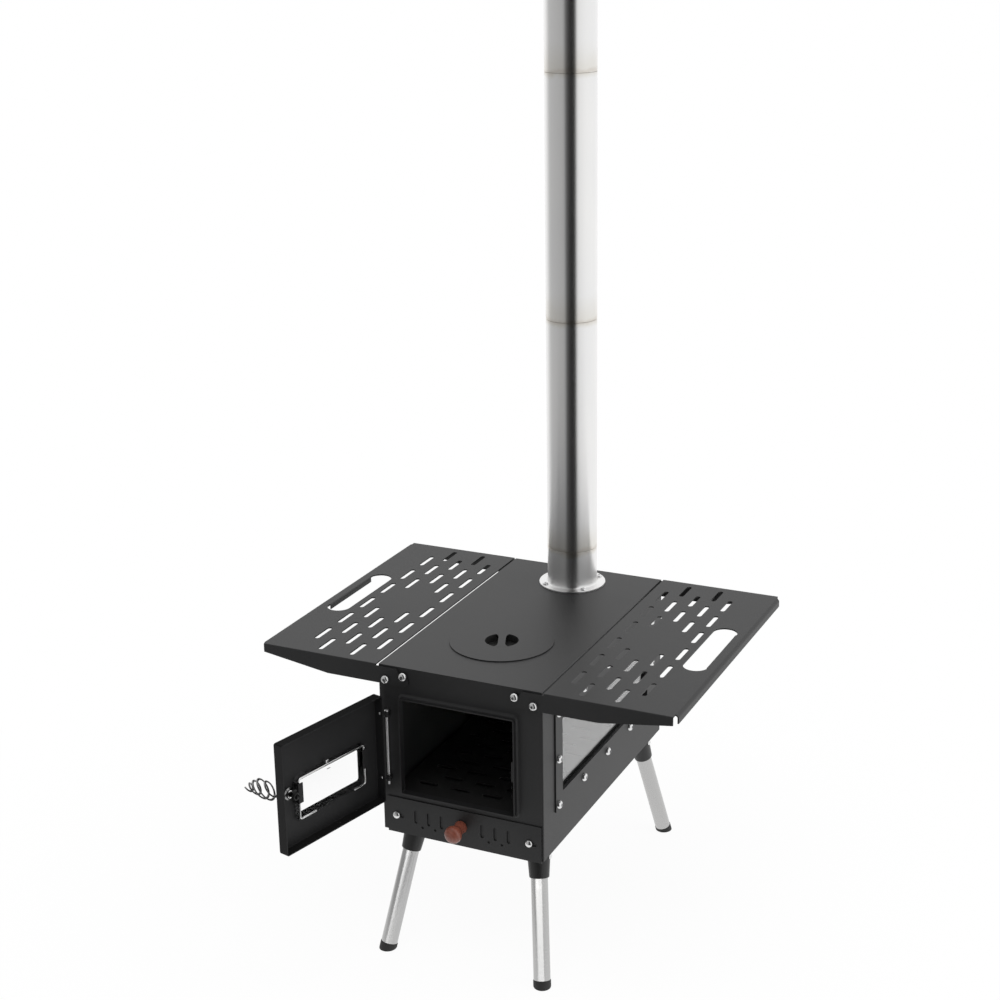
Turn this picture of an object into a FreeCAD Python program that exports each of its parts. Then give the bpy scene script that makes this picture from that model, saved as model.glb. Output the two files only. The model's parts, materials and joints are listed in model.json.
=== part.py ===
import FreeCAD, Part
import math
import os

import Sketcher

# Portable wood stove: a folded-steel firebox on four plug-in legs, with a
# windowed door, side windows, hook-on side shelves, an air slider, a cooking
# lid and a flue of pipe sections that push together.
#
# Frame: the floor is z = 0, with the origin under the middle of the firebox.
# +X is to the stove's right seen from the door, -Y is the door side, +Z is up.
# The door is modelled open, the slider a little right of its middle and
# everything else in its place for use.

doc = FreeCAD.newDocument("PortableWoodStove")
sheet = doc.addObject("Spreadsheet::Sheet", "Sizes")

# Driving sizes, in millimetres, degrees or counts: name, value, meaning.
SIZES = [
    # Firebox
    ("top_height", 354.5, "floor to the top plate's upper face"),
    ("body_width", 197, "across the side panels"),
    ("body_depth", 361, "front panel face to back panel face"),
    ("body_bottom", 153, "floor to the side panels' lower edge"),
    ("sheet_wall", 1.5, "folded sheet of the firebox"),
    ("top_wall", 2, "top plate"),
    ("top_inset", 0.7, "top plate's side edge inside the side panel face"),
    ("side_flange", 11, "side panels' turned-in top and bottom flanges"),
    ("edge_round", 1.2, "rounded vertical edges of the front and back panels"),
    ("cut_over", 1, "overrun of cuts"),
    # Cooking lid
    ("lid_inset", 109.9, "front panel face to the lid centre"),
    ("lid_hole_radius", 55, "hole in the top plate"),
    ("lid_radius", 59.2, "lid disc"),
    ("lid_wall", 1.2, "lid disc"),
    ("lid_step_depth", 2.5, "locating ring under the lid"),
    ("lid_step_wall", 3, "locating ring under the lid"),
    ("lid_clearance", 0.6, "locating ring to hole, radial"),
    ("cup_radius", 19, "finger cup in the lid"),
    ("cup_depth", 9, "finger cup in the lid"),
    ("cup_wall", 1.5, "finger cup in the lid"),
    ("cup_bar", 5, "bar across the finger cup"),
    # Flue
    ("flue_inset", 48, "flue centre to the back panel face"),
    ("pipe_radius", 30, "outside of the pipe"),
    ("pipe_wall", 0.8, "pipe sheet"),
    ("pipe_visible", 281, "shoulder to shoulder of one pipe section"),
    ("spigot_length", 32, "reduced lower end of a section"),
    ("spigot_clearance", 0.3, "spigot to the pipe that it enters, radial"),
    ("shoulder_gap", 0.2, "shoulder to the rim below it"),
    ("collar_height", 46, "flue collar above its flange"),
    ("flange_radius", 40.3, "flue flange"),
    ("flange_wall", 2, "flue flange"),
    ("flange_fit", 0.1, "collar in the flange and top plate, radial"),
    ("collar_tuck", 8, "collar below the top plate"),
    ("flange_bolt_circle", 35.3, "radius of the flange screws' circle"),
    ("flange_screw_radius", 2, "flange screw shank"),
    ("flange_screw_head", 3.6, "flange screw head radius"),
    ("flange_screw_rise", 2, "flange screw head height"),
    # Side shelves
    ("shelf_width", 148.2, "top face of a shelf, inner to outer edge"),
    ("shelf_gap", 2.8, "top plate's edge to the shelf"),
    ("shelf_wall", 1.5, "shelf sheet"),
    ("shelf_skirt", 22, "front and back flanges at the inner end"),
    ("shelf_skirt_end", 10, "front and back flanges at the outer end"),
    ("skirt_straight", 62, "full-depth stretch of the flanges"),
    ("shelf_rim", 10, "turned-down outer edge"),
    ("shelf_bend", 4, "outside radius of the outer bend"),
    ("corner_relief", 7, "flanges to the ends of the outer skirt"),
    ("flange_short", 4, "flanges' ends to the outer edge"),
    ("slot_width", 6, "shelf slot"),
    ("slot_column", 20, "columns of slots across the shelf"),
    ("first_column", 20, "top plate's edge line to the first column"),
    ("hand_width", 28, "hand hole"),
    ("hand_place", 124.5, "body side to the middle of the hand hole"),
    # Shelf bolts
    ("pivot_inset", 9.5, "body side to the outer bolt"),
    ("pivot_drop", 16.2, "top face to the outer bolt"),
    ("stop_inset", 31.5, "body side to the inner bolt"),
    ("stop_drop", 9.9, "top face to the inner bolt"),
    ("bolt_radius", 2.5, "bolt shank"),
    ("bolt_head", 5, "button head radius"),
    ("bolt_rise", 3.6, "button head height"),
    ("nut_flat", 8, "nut across flats"),
    ("nut_height", 4, "nut"),
    ("thread_play", 0.05, "threads in nuts and bores, radial"),
    ("thread_end", 1.5, "bolt end past its nut"),
    ("hook_clearance", 0.08, "shelf slot on the outer bolt, radial"),
    ("hook_side", 0.4, "front panel to shelf flange, and flange to bolt head"),
    ("tail_length", 28, "shelf tail inward of the outer bolt"),
    ("tail_play", 0.3, "inner bolt to the tail below it"),
    ("tail_swing", 0.6, "inner bolt to the flange's curved end"),
    ("tail_round", 4, "corner of the tail"),
    ("tail_drop", 2.2, "top face to the tail's upper edge"),
    ("shelf_edge", 1.2, "rounded upper edges of the front and back flanges"),
    # Door mouth and air inlet
    ("mouth_left_inset", 28, "body side to the mouth, hinge side"),
    ("mouth_right_inset", 32, "body side to the mouth, latch side"),
    ("mouth_bottom", 205.2, "floor to the mouth's sill"),
    ("mouth_drop", 35.9, "top face to the mouth's upper edge"),
    ("mouth_round", 1.5, "inner corners of the collar"),
    ("collar_depth", 7.5, "collar in front of the panel"),
    ("collar_root", 4, "rounded root of the collar"),
    ("slit_width", 4, "air slit"),
    ("slit_height", 16, "air slit"),
    ("slit_level", 175, "floor to the middle of the slits"),
    ("slit_start", 25, "panel's middle to the first slit"),
    ("slit_pitch", 16, "air slits"),
    ("slits_each_side", 3, "count of air slits on each side of the knob"),
    # Air slider
    ("slider_inset", 4, "body side to the slider's end, in mid travel"),
    ("slider_bottom", 151.3, "floor to the slider's lower edge"),
    ("slider_height", 43.8, "slider plate"),
    ("slider_wall", 1.2, "slider plate"),
    ("slider_play", 0.1, "panel to slider, and slider to screw heads"),
    ("slider_shift", 2, "slider's place right of its middle"),
    ("slider_travel", 5, "slider's travel to each side of its middle"),
    ("slider_screw_inset", 17, "body side to the slider screws"),
    ("slider_screw_level", 172.8, "floor to the slider screws"),
    ("slider_screw_radius", 2, "slider screw shank"),
    ("slider_screw_head", 4.5, "dome head radius"),
    ("slider_screw_rise", 3, "dome head height"),
    ("slider_slot_play", 0.4, "screw shank to the slot's sides and ends"),
    ("pin_hole_radius", 1.5, "small holes between the slits"),
    ("pin_hole_drop", 11.5, "slits' middle to the small holes"),
    ("knob_level", 175.3, "floor to the knob's middle"),
    ("knob_shift", -2.8, "knob's place from the slider's middle"),
    ("knob_length", 27, "knob"),
    ("knob_head", 10, "knob head radius"),
    ("knob_neck", 6.4, "knob neck radius"),
    ("knob_base", 7.6, "knob base radius"),
    ("knob_screw_radius", 2, "knob screw shank"),
    ("knob_screw_head", 3.8, "knob screw head radius"),
    ("knob_screw_rise", 2, "knob screw head height"),
    ("knob_screw_length", 14, "knob screw inside the knob"),
    ("knob_slot_play", 0.6, "knob screw head to the panel's slot"),
    ("knob_screw_play", 0.05, "knob screw in its hole, radial"),
    # Door
    ("door_open", 103.3, "angle at which the door stands open"),
    ("door_side", 9.2, "door past the mouth at each side"),
    ("door_under", 11.3, "door past the mouth's sill"),
    ("door_over", 4, "door past the mouth's upper edge"),
    ("door_depth", 12.5, "door pan"),
    ("door_wall", 1.2, "door pan sheet"),
    ("door_round", 2.5, "corners of the pan"),
    ("door_bend", 2, "bend between the pan's floor and lips"),
    ("door_gap", 1.6, "panel to the closed door's lips, clear of the slider"),
    ("pane_left", 46.4, "window's left edge from the door's middle"),
    ("pane_right", 45.2, "window's right edge from the door's middle"),
    ("pane_round", 3, "window corners"),
    ("pane_lap", 6.5, "pane past the window all round"),
    ("pane_wall", 4, "door pane"),
    ("wire_radius", 1.2, "wire that holds the pane"),
    ("wire_bend", 3.2, "bends of that wire"),
    ("wire_inset", 1.5, "pane's edge to the middle of the wire"),
    ("wire_foot_left", 18, "hinge-side lower end of the wire"),
    ("wire_foot_right", 24, "latch-side lower end of the wire"),
    ("clip_length", 23, "side clip over the wire"),
    ("clip_wall", 1.2, "side clip"),
    ("clip_foot", 2, "side clip's foot beside the pane"),
    ("clip_reach", 3, "side clip past the wire, over the pane"),
    ("clip_clearance", 0.15, "clip to wire and pane"),
    ("clip_rise", 7.7, "window's middle to the middle of the side clips"),
    ("tab_length", 5, "top tab over the wire"),
    ("tab_place", 6.3, "top tab from the door's middle"),
    # Door hinge
    ("hinge_inset", 10.5, "body side to the hinge pin"),
    ("hinge_forward", 3.6, "panel face to the hinge pin"),
    ("hinge_end", 25.3, "door's ends to the middle of the knuckle pairs"),
    ("pin_radius", 1.3, "hinge pin"),
    ("pin_play", 0.05, "hinge pin in its knuckles, radial"),
    ("pin_head", 2.6, "hinge pin head radius"),
    ("pin_head_rise", 1.8, "hinge pin head"),
    ("pin_tail", 4.5, "hinge pin below the lower knuckle"),
    ("knuckle_radius", 3.1, "knuckles round the pin"),
    ("knuckle_wall", 3, "height of one knuckle"),
    ("knuckle_gap", 0.3, "between knuckles of a pair"),
    # Latch
    ("latch_inset", 16.7, "door's latch edge to the latch shaft"),
    ("shaft_radius", 2.5, "latch shaft"),
    ("shaft_play", 0.08, "shaft in the door, radial"),
    ("hub_radius", 3.6, "thick part of the shaft inside the door"),
    ("hub_flange", 6.8, "flange of the hub, against the door"),
    ("hub_flange_wall", 1.5, "flange of the hub"),
    ("hub_gap", 0.3, "door to the hub and washer"),
    ("washer_radius", 6, "washer outside the door"),
    ("washer_wall", 1.2, "washer outside the door"),
    ("cam_reach", 7, "latch cam from the shaft"),
    ("cam_wall", 2, "latch cam"),
    ("cam_half_angle", 32, "half of the cam's sector"),
    ("cam_gap", 0.5, "strike to cam when shut"),
    ("latch_nut_height", 3, "latch nut"),
    ("strike_height", 23.5, "strike tab"),
    ("strike_reach", 2.5, "strike tab from the collar"),
    ("strike_setback", 0.8, "collar's rim to the strike tab"),
    # Coil handle
    ("coil_wire", 1.1, "handle wire, radius"),
    ("coil_turns", 5, "count of turns"),
    ("coil_length", 43, "coil along its own axis"),
    ("coil_wide", 10.3, "middle line of the widest turn"),
    ("coil_seat", 4.3, "middle line of the first turn, on the shaft"),
    ("coil_tip", 3.6, "middle line of the last turn"),
    ("coil_lead", 3.8, "bare shaft between washer and coil"),
    ("stub_length", 2.5, "shaft inside the first turn"),
    ("coil_lean", 23, "angle of the coil to the shaft, towards the door's free edge"),
    # Side windows
    ("frame_inset", 31.5, "body's ends to the window frame"),
    ("frame_bottom", 198, "floor to the window frame"),
    ("frame_drop", 32.5, "top face to the window frame"),
    ("frame_wall", 1.5, "window frame"),
    ("frame_bar", 18.5, "width of the frame's bars"),
    ("frame_bolt_edge", 7, "frame's edge to its bolts"),
    ("glass_wall", 4, "side pane"),
    ("glass_lap", 5, "side pane past the window all round"),
    ("gasket_wall", 1.5, "gasket between panel and pane"),
    ("retainer_wall", 1.2, "inner retainer sheet"),
    ("retainer_play", 0.5, "pane's edge to the retainer"),
    ("bolt_play", 0.25, "bolt shank to its holes, radial"),
    # Legs
    ("leg_inset", 23.6, "body side to the leg axis, at the bottom plate"),
    ("front_leg_inset", 38.7, "front panel face to the leg axis, at the bottom plate"),
    ("back_leg_inset", 20.1, "back panel face to the leg axis, at the bottom plate"),
    ("leg_splay_out", 22.6, "leg's foot past its top, to the side"),
    ("leg_splay_along", 43.6, "leg's foot past its top, along the body"),
    ("leg_radius", 9.5, "leg tube"),
    ("leg_wall", 1.2, "leg tube"),
    ("leg_clearance", 0.3, "leg in its socket, radial"),
    ("leg_seat", 0.3, "leg's top to the bottom plate"),
    ("socket_length", 39, "socket along the leg"),
    ("socket_top", 14, "socket's outside radius at the body"),
    ("socket_end", 11.2, "socket's outside radius at its mouth"),
    ("socket_lip", 0.7, "rounded mouth of the socket"),
    ("gusset_reach", 20, "gusset from the leg axis along the body"),
    ("gusset_drop", 24, "gusset below the body"),
    ("gusset_wall", 10, "gusset thickness"),
    ("foot_height", 7, "leg's end above the floor, on its axis"),
    ("foot_over", 0.5, "foot past the leg tube"),
    ("plug_length", 12, "foot's plug inside the tube"),
    ("plug_clearance", 0.1, "plug in the tube, radial"),
    ("socket_screw_radius", 1.8, "socket screw shank"),
    ("socket_screw_head", 3.4, "socket screw head radius"),
    ("socket_screw_rise", 1.8, "socket screw head height"),
    ("socket_screw_drop", 15, "bottom plate to the screw, along the leg"),
    # Grate
    ("grate_level", 198, "floor to the grate's upper face"),
    ("grate_side_play", 5, "grate to the side panels"),
    ("grate_end_play", 4, "grate to the front and back panels"),
    ("grate_wall", 2, "grate"),
    ("grate_slot_length", 24, "grate slot"),
    ("grate_slot_width", 6, "grate slot"),
    ("grate_rows", 7, "count of every other row"),
]

for line, (alias, value, meaning) in enumerate(SIZES, start=1):
    sheet.set(f"A{line}", alias)
    sheet.set(f"B{line}", str(value))
    sheet.set(f"C{line}", meaning)
    sheet.setAlias(f"B{line}", alias)
doc.recompute()


class Size:
    """A length that knows its value and the sheet expression behind it."""

    def __init__(self, value, text):
        self.value = float(value)
        self.text = text

    def __add__(self, other):
        other = size(other)
        return Size(self.value + other.value, f"({self.text} + {other.text})")

    def __sub__(self, other):
        other = size(other)
        return Size(self.value - other.value, f"({self.text} - {other.text})")

    def __mul__(self, other):
        other = size(other)
        return Size(self.value * other.value, f"({self.text} * {other.text})")

    def __truediv__(self, other):
        other = size(other)
        return Size(self.value / other.value, f"({self.text} / {other.text})")

    def __neg__(self):
        return Size(-self.value, f"(0 - {self.text})")

    def root(self):
        return Size(math.sqrt(self.value), f"sqrt({self.text})")

    __radd__ = __add__
    __rmul__ = __mul__

    def __rsub__(self, other):
        return size(other) - self


def size(item):
    return item if isinstance(item, Size) else Size(item, f"{item}")


class Sheet:
    """The sheet's cells by name."""

    def __getattr__(self, alias):
        return Size(sheet.get(alias), f"Sizes.{alias}")


S = Sheet()
V = FreeCAD.Vector
ZERO = size(0)
nodes = []


def bind(thing, prop, amount):
    thing.setExpression(prop, size(amount).text)


def keep(thing, label, placement=None):
    """Names a finished sub-part and lists it for export."""
    thing.Label = label
    if placement is not None:
        thing.Placement = placement.multiply(thing.Placement)
    nodes.append(thing)
    return thing


def feature(label, shape, placement=None):
    """A sub-part whose shape comes from code that reads the sheet."""
    thing = doc.addObject("Part::Feature", label)
    thing.Shape = shape
    return keep(thing, label, placement)


def new_body(label):
    return doc.addObject("PartDesign::Body", label)


def origin_part(body, role):
    return next(item for item in body.Origin.OriginFeatures if item.Role == role)


def sketch(body, name, role, place=ZERO):
    """A sketch on an origin plane, moved along that plane's world axis."""
    drawn = body.newObject("Sketcher::SketchObject", name)
    drawn.AttachmentSupport = [(origin_part(body, role), "")]
    drawn.MapMode = "FlatFace"
    bind(drawn, "AttachmentOffset.Base.z", -place if role == "XZ_Plane" else place)
    return drawn


def pin_point(drawn, curve, end, x, y):
    """Ties one point of a curve to the sheet."""
    for kind, amount in (("DistanceX", size(x)), ("DistanceY", size(y))):
        tie = drawn.addConstraint(Sketcher.Constraint(kind, -1, 1, curve, end, amount.value))
        bind(drawn, f"Constraints[{tie}]", amount)


def polygon(drawn, points):
    """A closed outline of straight edges, each corner tied to the sheet."""
    first = drawn.GeometryCount
    count = len(points)
    spots = [V(size(x).value, size(y).value, 0) for x, y in points]
    edges = [Part.LineSegment(spots[i], spots[(i + 1) % count]) for i in range(count)]
    drawn.addGeometry(edges, False)
    for i in range(count):
        drawn.addConstraint(Sketcher.Constraint("Coincident", first + i, 2, first + (i + 1) % count, 1))
    for i, (x, y) in enumerate(points):
        pin_point(drawn, first + i, 1, x, y)


def rectangle(drawn, left, right, low, high):
    polygon(drawn, [(left, low), (right, low), (right, high), (left, high)])


def circle(drawn, x, y, radius):
    curve = drawn.GeometryCount
    spot = V(size(x).value, size(y).value, 0)
    drawn.addGeometry([Part.Circle(spot, V(0, 0, 1), size(radius).value)], False)
    pin_point(drawn, curve, 3, x, y)
    tie = drawn.addConstraint(Sketcher.Constraint("Radius", curve, size(radius).value))
    bind(drawn, f"Constraints[{tie}]", radius)


def arc_of(x, y, radius, start, end):
    spot = V(size(x).value, size(y).value, 0)
    return Part.ArcOfCircle(Part.Circle(spot, V(0, 0, 1), size(radius).value), start, end)


def segment(x_from, y_from, x_to, y_to):
    ends = [V(size(a).value, size(b).value, 0) for a, b in ((x_from, y_from), (x_to, y_to))]
    return Part.LineSegment(*ends)


def slot(drawn, x, y, reach, radius, upright=False):
    """A round-ended slot: reach is the half distance of its end centres."""
    first = drawn.GeometryCount
    quarter = math.pi / 2
    if upright:
        ends = [(x, y + reach), (x, y - reach)]
        curves = [arc_of(*ends[0], radius, 0, 2 * quarter),
                  segment(x - radius, y + reach, x - radius, y - reach),
                  arc_of(*ends[1], radius, 2 * quarter, 4 * quarter),
                  segment(x + radius, y - reach, x + radius, y + reach)]
    else:
        ends = [(x - reach, y), (x + reach, y)]
        curves = [arc_of(*ends[0], radius, quarter, 3 * quarter),
                  segment(x - reach, y - radius, x + reach, y - radius),
                  arc_of(*ends[1], radius, -quarter, quarter),
                  segment(x + reach, y + radius, x - reach, y + radius)]
    drawn.addGeometry(curves, False)
    ties = [Sketcher.Constraint("Tangent", first + i, 2, first + (i + 1) % 4, 1) for i in range(4)]
    drawn.addConstraint(ties + [Sketcher.Constraint("Equal", first, first + 2)])
    pin_point(drawn, first, 3, *ends[0])
    pin_point(drawn, first + 2, 3, *ends[1])
    tie = drawn.addConstraint(Sketcher.Constraint("Radius", first, size(radius).value))
    bind(drawn, f"Constraints[{tie}]", radius)


def rounded(drawn, left, right, low, high, radius):
    """A rectangle with round corners."""
    first = drawn.GeometryCount
    quarter = math.pi / 2
    curves = [segment(left + radius, low, right - radius, low),
              arc_of(right - radius, low + radius, radius, -quarter, 0),
              segment(right, low + radius, right, high - radius),
              arc_of(right - radius, high - radius, radius, 0, quarter),
              segment(right - radius, high, left + radius, high),
              arc_of(left + radius, high - radius, radius, quarter, 2 * quarter),
              segment(left, high - radius, left, low + radius),
              arc_of(left + radius, low + radius, radius, 2 * quarter, 3 * quarter)]
    drawn.addGeometry(curves, False)
    ties = [Sketcher.Constraint("Tangent", first + i, 2, first + (i + 1) % 8, 1) for i in range(8)]
    ties += [Sketcher.Constraint("Equal", first + 1, first + i) for i in (3, 5, 7)]
    drawn.addConstraint(ties)
    pin_point(drawn, first + 1, 3, right - radius, low + radius)
    pin_point(drawn, first + 5, 3, left + radius, high - radius)
    for curve in (first, first + 4):
        drawn.addConstraint(Sketcher.Constraint("Horizontal", curve))
    for curve in (first + 2, first + 6):
        drawn.addConstraint(Sketcher.Constraint("Vertical", curve))
    tie = drawn.addConstraint(Sketcher.Constraint("Radius", first + 1, size(radius).value))
    bind(drawn, f"Constraints[{tie}]", radius)


def pad(drawn, amount, up):
    """Thickens a sketch towards the rising (up) or falling world axis."""
    body = drawn.getParentGeoFeatureGroup()
    made = body.newObject("PartDesign::Pad", drawn.Name + "_pad")
    made.Profile = drawn
    bind(made, "Length", amount)
    facing_down = drawn.AttachmentSupport[0][0].Role == "XZ_Plane"
    made.Reversed = up == facing_down
    doc.recompute()
    return made


def cut(drawn, amount, up):
    """Cuts a sketch towards the rising (up) or falling world axis."""
    body = drawn.getParentGeoFeatureGroup()
    before = body.Shape.Volume
    made = body.newObject("PartDesign::Pocket", drawn.Name + "_cut")
    made.Profile = drawn
    bind(made, "Length", amount)
    facing_down = drawn.AttachmentSupport[0][0].Role == "XZ_Plane"
    made.Reversed = up != facing_down
    doc.recompute()
    if not body.Shape.Volume < before:
        raise ValueError(f"{drawn.Name} cuts nothing")
    return made


def row(original, role, step, count):
    """Repeats a feature along a world axis at the given step."""
    body = original.getParentGeoFeatureGroup()
    made = body.newObject("PartDesign::LinearPattern", original.Name + "_row")
    made.Originals = [original]
    made.Direction = (origin_part(body, role), [""])
    bind(made, "Length", step * (size(count) - 1))
    bind(made, "Occurrences", count)
    body.Tip = made
    doc.recompute()
    return made


def spin(drawn):
    """Turns a half-section drawn in the XZ plane about the Z axis."""
    body = drawn.getParentGeoFeatureGroup()
    made = body.newObject("PartDesign::Revolution", drawn.Name + "_turned")
    made.Profile = drawn
    made.ReferenceAxis = (drawn, ["V_Axis"])
    made.Angle = 360
    doc.recompute()
    return made


def round_edges(body, name, radius, wanted):
    """Rounds the edges whose middle point passes the given test."""
    tip = body.Tip
    names = []
    for index, edge in enumerate(tip.Shape.Edges, start=1):
        middle = edge.valueAt((edge.FirstParameter + edge.LastParameter) / 2)
        if wanted(edge, middle):
            names.append(f"Edge{index}")
    made = body.newObject("PartDesign::Fillet", name)
    made.Base = (tip, names)
    bind(made, "Radius", radius)
    doc.recompute()
    return made


def near(a, b):
    return abs(a - size(b).value) < 1e-4


def placed(shape, spot, way):
    """A copy of a shape made along +Z, set at a spot and pointed a way."""
    moved = shape.copy()
    moved.Placement = FreeCAD.Placement(spot, FreeCAD.Rotation(V(0, 0, 1), way))
    return moved


HEAD_STRAIGHT_SHARE = 0.45
HEAD_CROWN_SHARE = 0.62


def screw(head, rise, shank, length):
    """A screw along +Z: its domed head above z = 0, its shank below."""
    straight = rise.value * HEAD_STRAIGHT_SHARE
    cap = Part.makeCylinder(head.value, straight)
    crown = Part.makeCone(head.value, head.value * HEAD_CROWN_SHARE, rise.value - straight, V(0, 0, straight))
    stem = Part.makeCylinder(shank.value, length.value, V(0, 0, -length.value))
    return cap.fuse([crown, stem]).removeSplitter()


def nut(flat, height, bore):
    """A hexagon nut standing on z = 0 along +Z."""
    corner = flat.value / math.sqrt(3)
    turns = [math.radians(60 * i) for i in range(7)]
    rim = Part.makePolygon([V(corner * math.cos(turn), corner * math.sin(turn), 0) for turn in turns])
    block = Part.Face(rim).extrude(V(0, 0, height.value))
    return block.cut(Part.makeCylinder(bore.value, height.value))


def prism(points, height, spot, across, along):
    """A block from a flat outline: across and along span it, height goes square to both."""
    corners = [spot + across * size(a).value + along * size(b).value for a, b in points]
    rim = Part.makePolygon(corners + corners[:1])
    return Part.Face(rim).extrude(across.cross(along) * size(height).value)


def swept(edges, radius):
    """A round wire along joined edges."""
    start = edges[0].valueAt(edges[0].FirstParameter)
    way = edges[0].tangentAt(edges[0].FirstParameter)
    shell = Part.BRepOffsetAPI.MakePipeShell(Part.Wire(edges))
    shell.add(Part.Wire(Part.Edge(Part.Circle(start, way, radius))))
    shell.build()
    shell.makeSolid()
    return shell.shape()


X_WAY = V(1, 0, 0)
Y_WAY = V(0, 1, 0)
Z_WAY = V(0, 0, 1)
UP = True
DOWN = False

half_width = S.body_width / 2
front = -(S.body_depth / 2)
back = S.body_depth / 2
side_inside = half_width - S.sheet_wall
under_top = S.top_height - S.top_wall
top_edge = half_width - S.top_inset
floor_plate_top = S.body_bottom + S.sheet_wall
ledge_top = floor_plate_top + S.sheet_wall
lid_y = front + S.lid_inset
flue_y = back - S.flue_inset

# Firebox: top plate with the holes for the lid, the flue and its screws.
DIAGONAL_SHARE = math.sqrt(0.5)
flange_spot = S.flange_bolt_circle * DIAGONAL_SHARE
diagonals = [(-1, -1), (-1, 1), (1, -1), (1, 1)]
flange_spots = [(x_way * flange_spot, flue_y + y_way * flange_spot) for x_way, y_way in diagonals]
body = new_body("top_plate")
drawn = sketch(body, "top_outline", "XY_Plane", under_top)
rectangle(drawn, -top_edge, top_edge, front, back)
circle(drawn, ZERO, lid_y, S.lid_hole_radius)
circle(drawn, ZERO, flue_y, S.pipe_radius + S.flange_fit)
for x, y in flange_spots:
    circle(drawn, x, y, S.flange_screw_radius + S.thread_play)
pad(drawn, S.top_wall, UP)
keep(body, "top_plate")

# Window bolts stand on the middle lines of the frame's bars.
frame_half = back - S.frame_inset
frame_low = S.frame_bottom
frame_high = S.top_height - S.frame_drop
window_half = frame_half - S.frame_bar
window_low = frame_low + S.frame_bar
window_high = frame_high - S.frame_bar
bolt_span = (frame_half - S.frame_bolt_edge) / 2
bolt_levels = (frame_low + S.frame_bolt_edge, frame_high - S.frame_bolt_edge)
window_spots = [(step * bolt_span, level) for step in (-2, -1, 0, 1, 2) for level in bolt_levels]
window_spots += [(way * 2 * bolt_span, (frame_low + frame_high) / 2) for way in (-1, 1)]
hole_radius = S.bolt_radius + S.bolt_play

# Side panels: channel-shaped, with turned-in flanges above and below. The right one has the window.
for name, side in (("left", -1), ("right", 1)):
    body = new_body(f"side_panel_{name}")
    drawn = sketch(body, f"side_section_{name}", "XZ_Plane", front + S.sheet_wall)
    flange_end = half_width - S.side_flange
    section = [(half_width, S.body_bottom), (half_width, under_top), (flange_end, under_top),
               (flange_end, under_top - S.sheet_wall), (side_inside, under_top - S.sheet_wall),
               (side_inside, ledge_top), (flange_end, ledge_top), (flange_end, floor_plate_top),
               (side_inside, floor_plate_top), (side_inside, S.body_bottom)]
    polygon(drawn, [(side * x, z) for x, z in section])
    pad(drawn, S.body_depth - 2 * S.sheet_wall, UP)
    if name == "right":
        drawn = sketch(body, "side_window", "YZ_Plane", half_width + S.cut_over)
        rectangle(drawn, -window_half, window_half, window_low, window_high)
        for y, z in window_spots:
            circle(drawn, y, z, hole_radius)
        cut(drawn, S.sheet_wall + 2 * S.cut_over, DOWN)
    keep(body, f"side_panel_{name}")

# Bottom plate between the side panels, under their lower flanges.
body = new_body("bottom_plate")
drawn = sketch(body, "bottom_outline", "XY_Plane", S.body_bottom)
rectangle(drawn, -side_inside, side_inside, front + S.sheet_wall, back - S.sheet_wall)
pad(drawn, S.sheet_wall, UP)
keep(body, "bottom_plate")

# Shelf bolts: the outer one of each pair is the shelf's pivot.
pivot_x = half_width - S.pivot_inset
pivot_z = S.top_height - S.pivot_drop
stop_x = half_width - S.stop_inset
stop_z = S.top_height - S.stop_drop

# Front panel: drawn collar round the door mouth, air slits, slider holes.
mouth_left = S.mouth_left_inset - half_width
mouth_right = half_width - S.mouth_right_inset
mouth_middle = (mouth_left + mouth_right) / 2
mouth_top = S.top_height - S.mouth_drop
slider_screw_x = half_width - S.slider_screw_inset
slit_reach = S.slit_height / 2 - S.slit_width / 2
slit_radius = S.slit_width / 2
slit_counts = range(int(S.slits_each_side.value))
slits = [way * (S.slit_start + S.slit_pitch * count) for count in slit_counts for way in (-1, 1)]
body = new_body("front_panel")
drawn = sketch(body, "front_outline", "XZ_Plane", front)
rectangle(drawn, -half_width, half_width, S.body_bottom, under_top)
rounded(drawn, mouth_left, mouth_right, S.mouth_bottom, mouth_top, S.mouth_round)
for x in slits:
    slot(drawn, x - S.slider_shift - S.slider_travel, S.slit_level, slit_reach, slit_radius, upright=True)
slot(drawn, S.knob_shift, S.knob_level, S.slider_travel, S.knob_screw_head + S.knob_slot_play)
for way in (-1, 1):
    circle(drawn, way * slider_screw_x, S.slider_screw_level, S.slider_screw_radius + S.thread_play)
    circle(drawn, way * pivot_x, pivot_z, hole_radius)
    circle(drawn, way * stop_x, stop_z, hole_radius)
pad(drawn, S.sheet_wall, UP)
drawn = sketch(body, "collar_outline", "XZ_Plane", front)
collar = S.sheet_wall
rounded(drawn, mouth_left - collar, mouth_right + collar, S.mouth_bottom - collar, mouth_top + collar,
        S.mouth_round + collar)
rounded(drawn, mouth_left, mouth_right, S.mouth_bottom, mouth_top, S.mouth_round)
pad(drawn, S.collar_depth, DOWN)


def collar_foot(edge, middle):
    on_sides = near(middle.x, mouth_left - collar) or near(middle.x, mouth_right + collar)
    on_ends = near(middle.z, S.mouth_bottom - collar) or near(middle.z, mouth_top + collar)
    on_corner = hasattr(edge.Curve, "Radius") and near(edge.Curve.Radius, S.mouth_round + collar)
    return near(middle.y, front) and (on_sides or on_ends or on_corner)


def front_corner(edge, middle):
    return near(middle.y, front) and near(abs(middle.x), half_width)


def back_corner(edge, middle):
    return near(middle.y, back) and near(abs(middle.x), half_width)


round_edges(body, "collar_root_bend", S.collar_root, collar_foot)
round_edges(body, "front_corner_bend", S.edge_round, front_corner)
keep(body, "front_panel")

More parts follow.
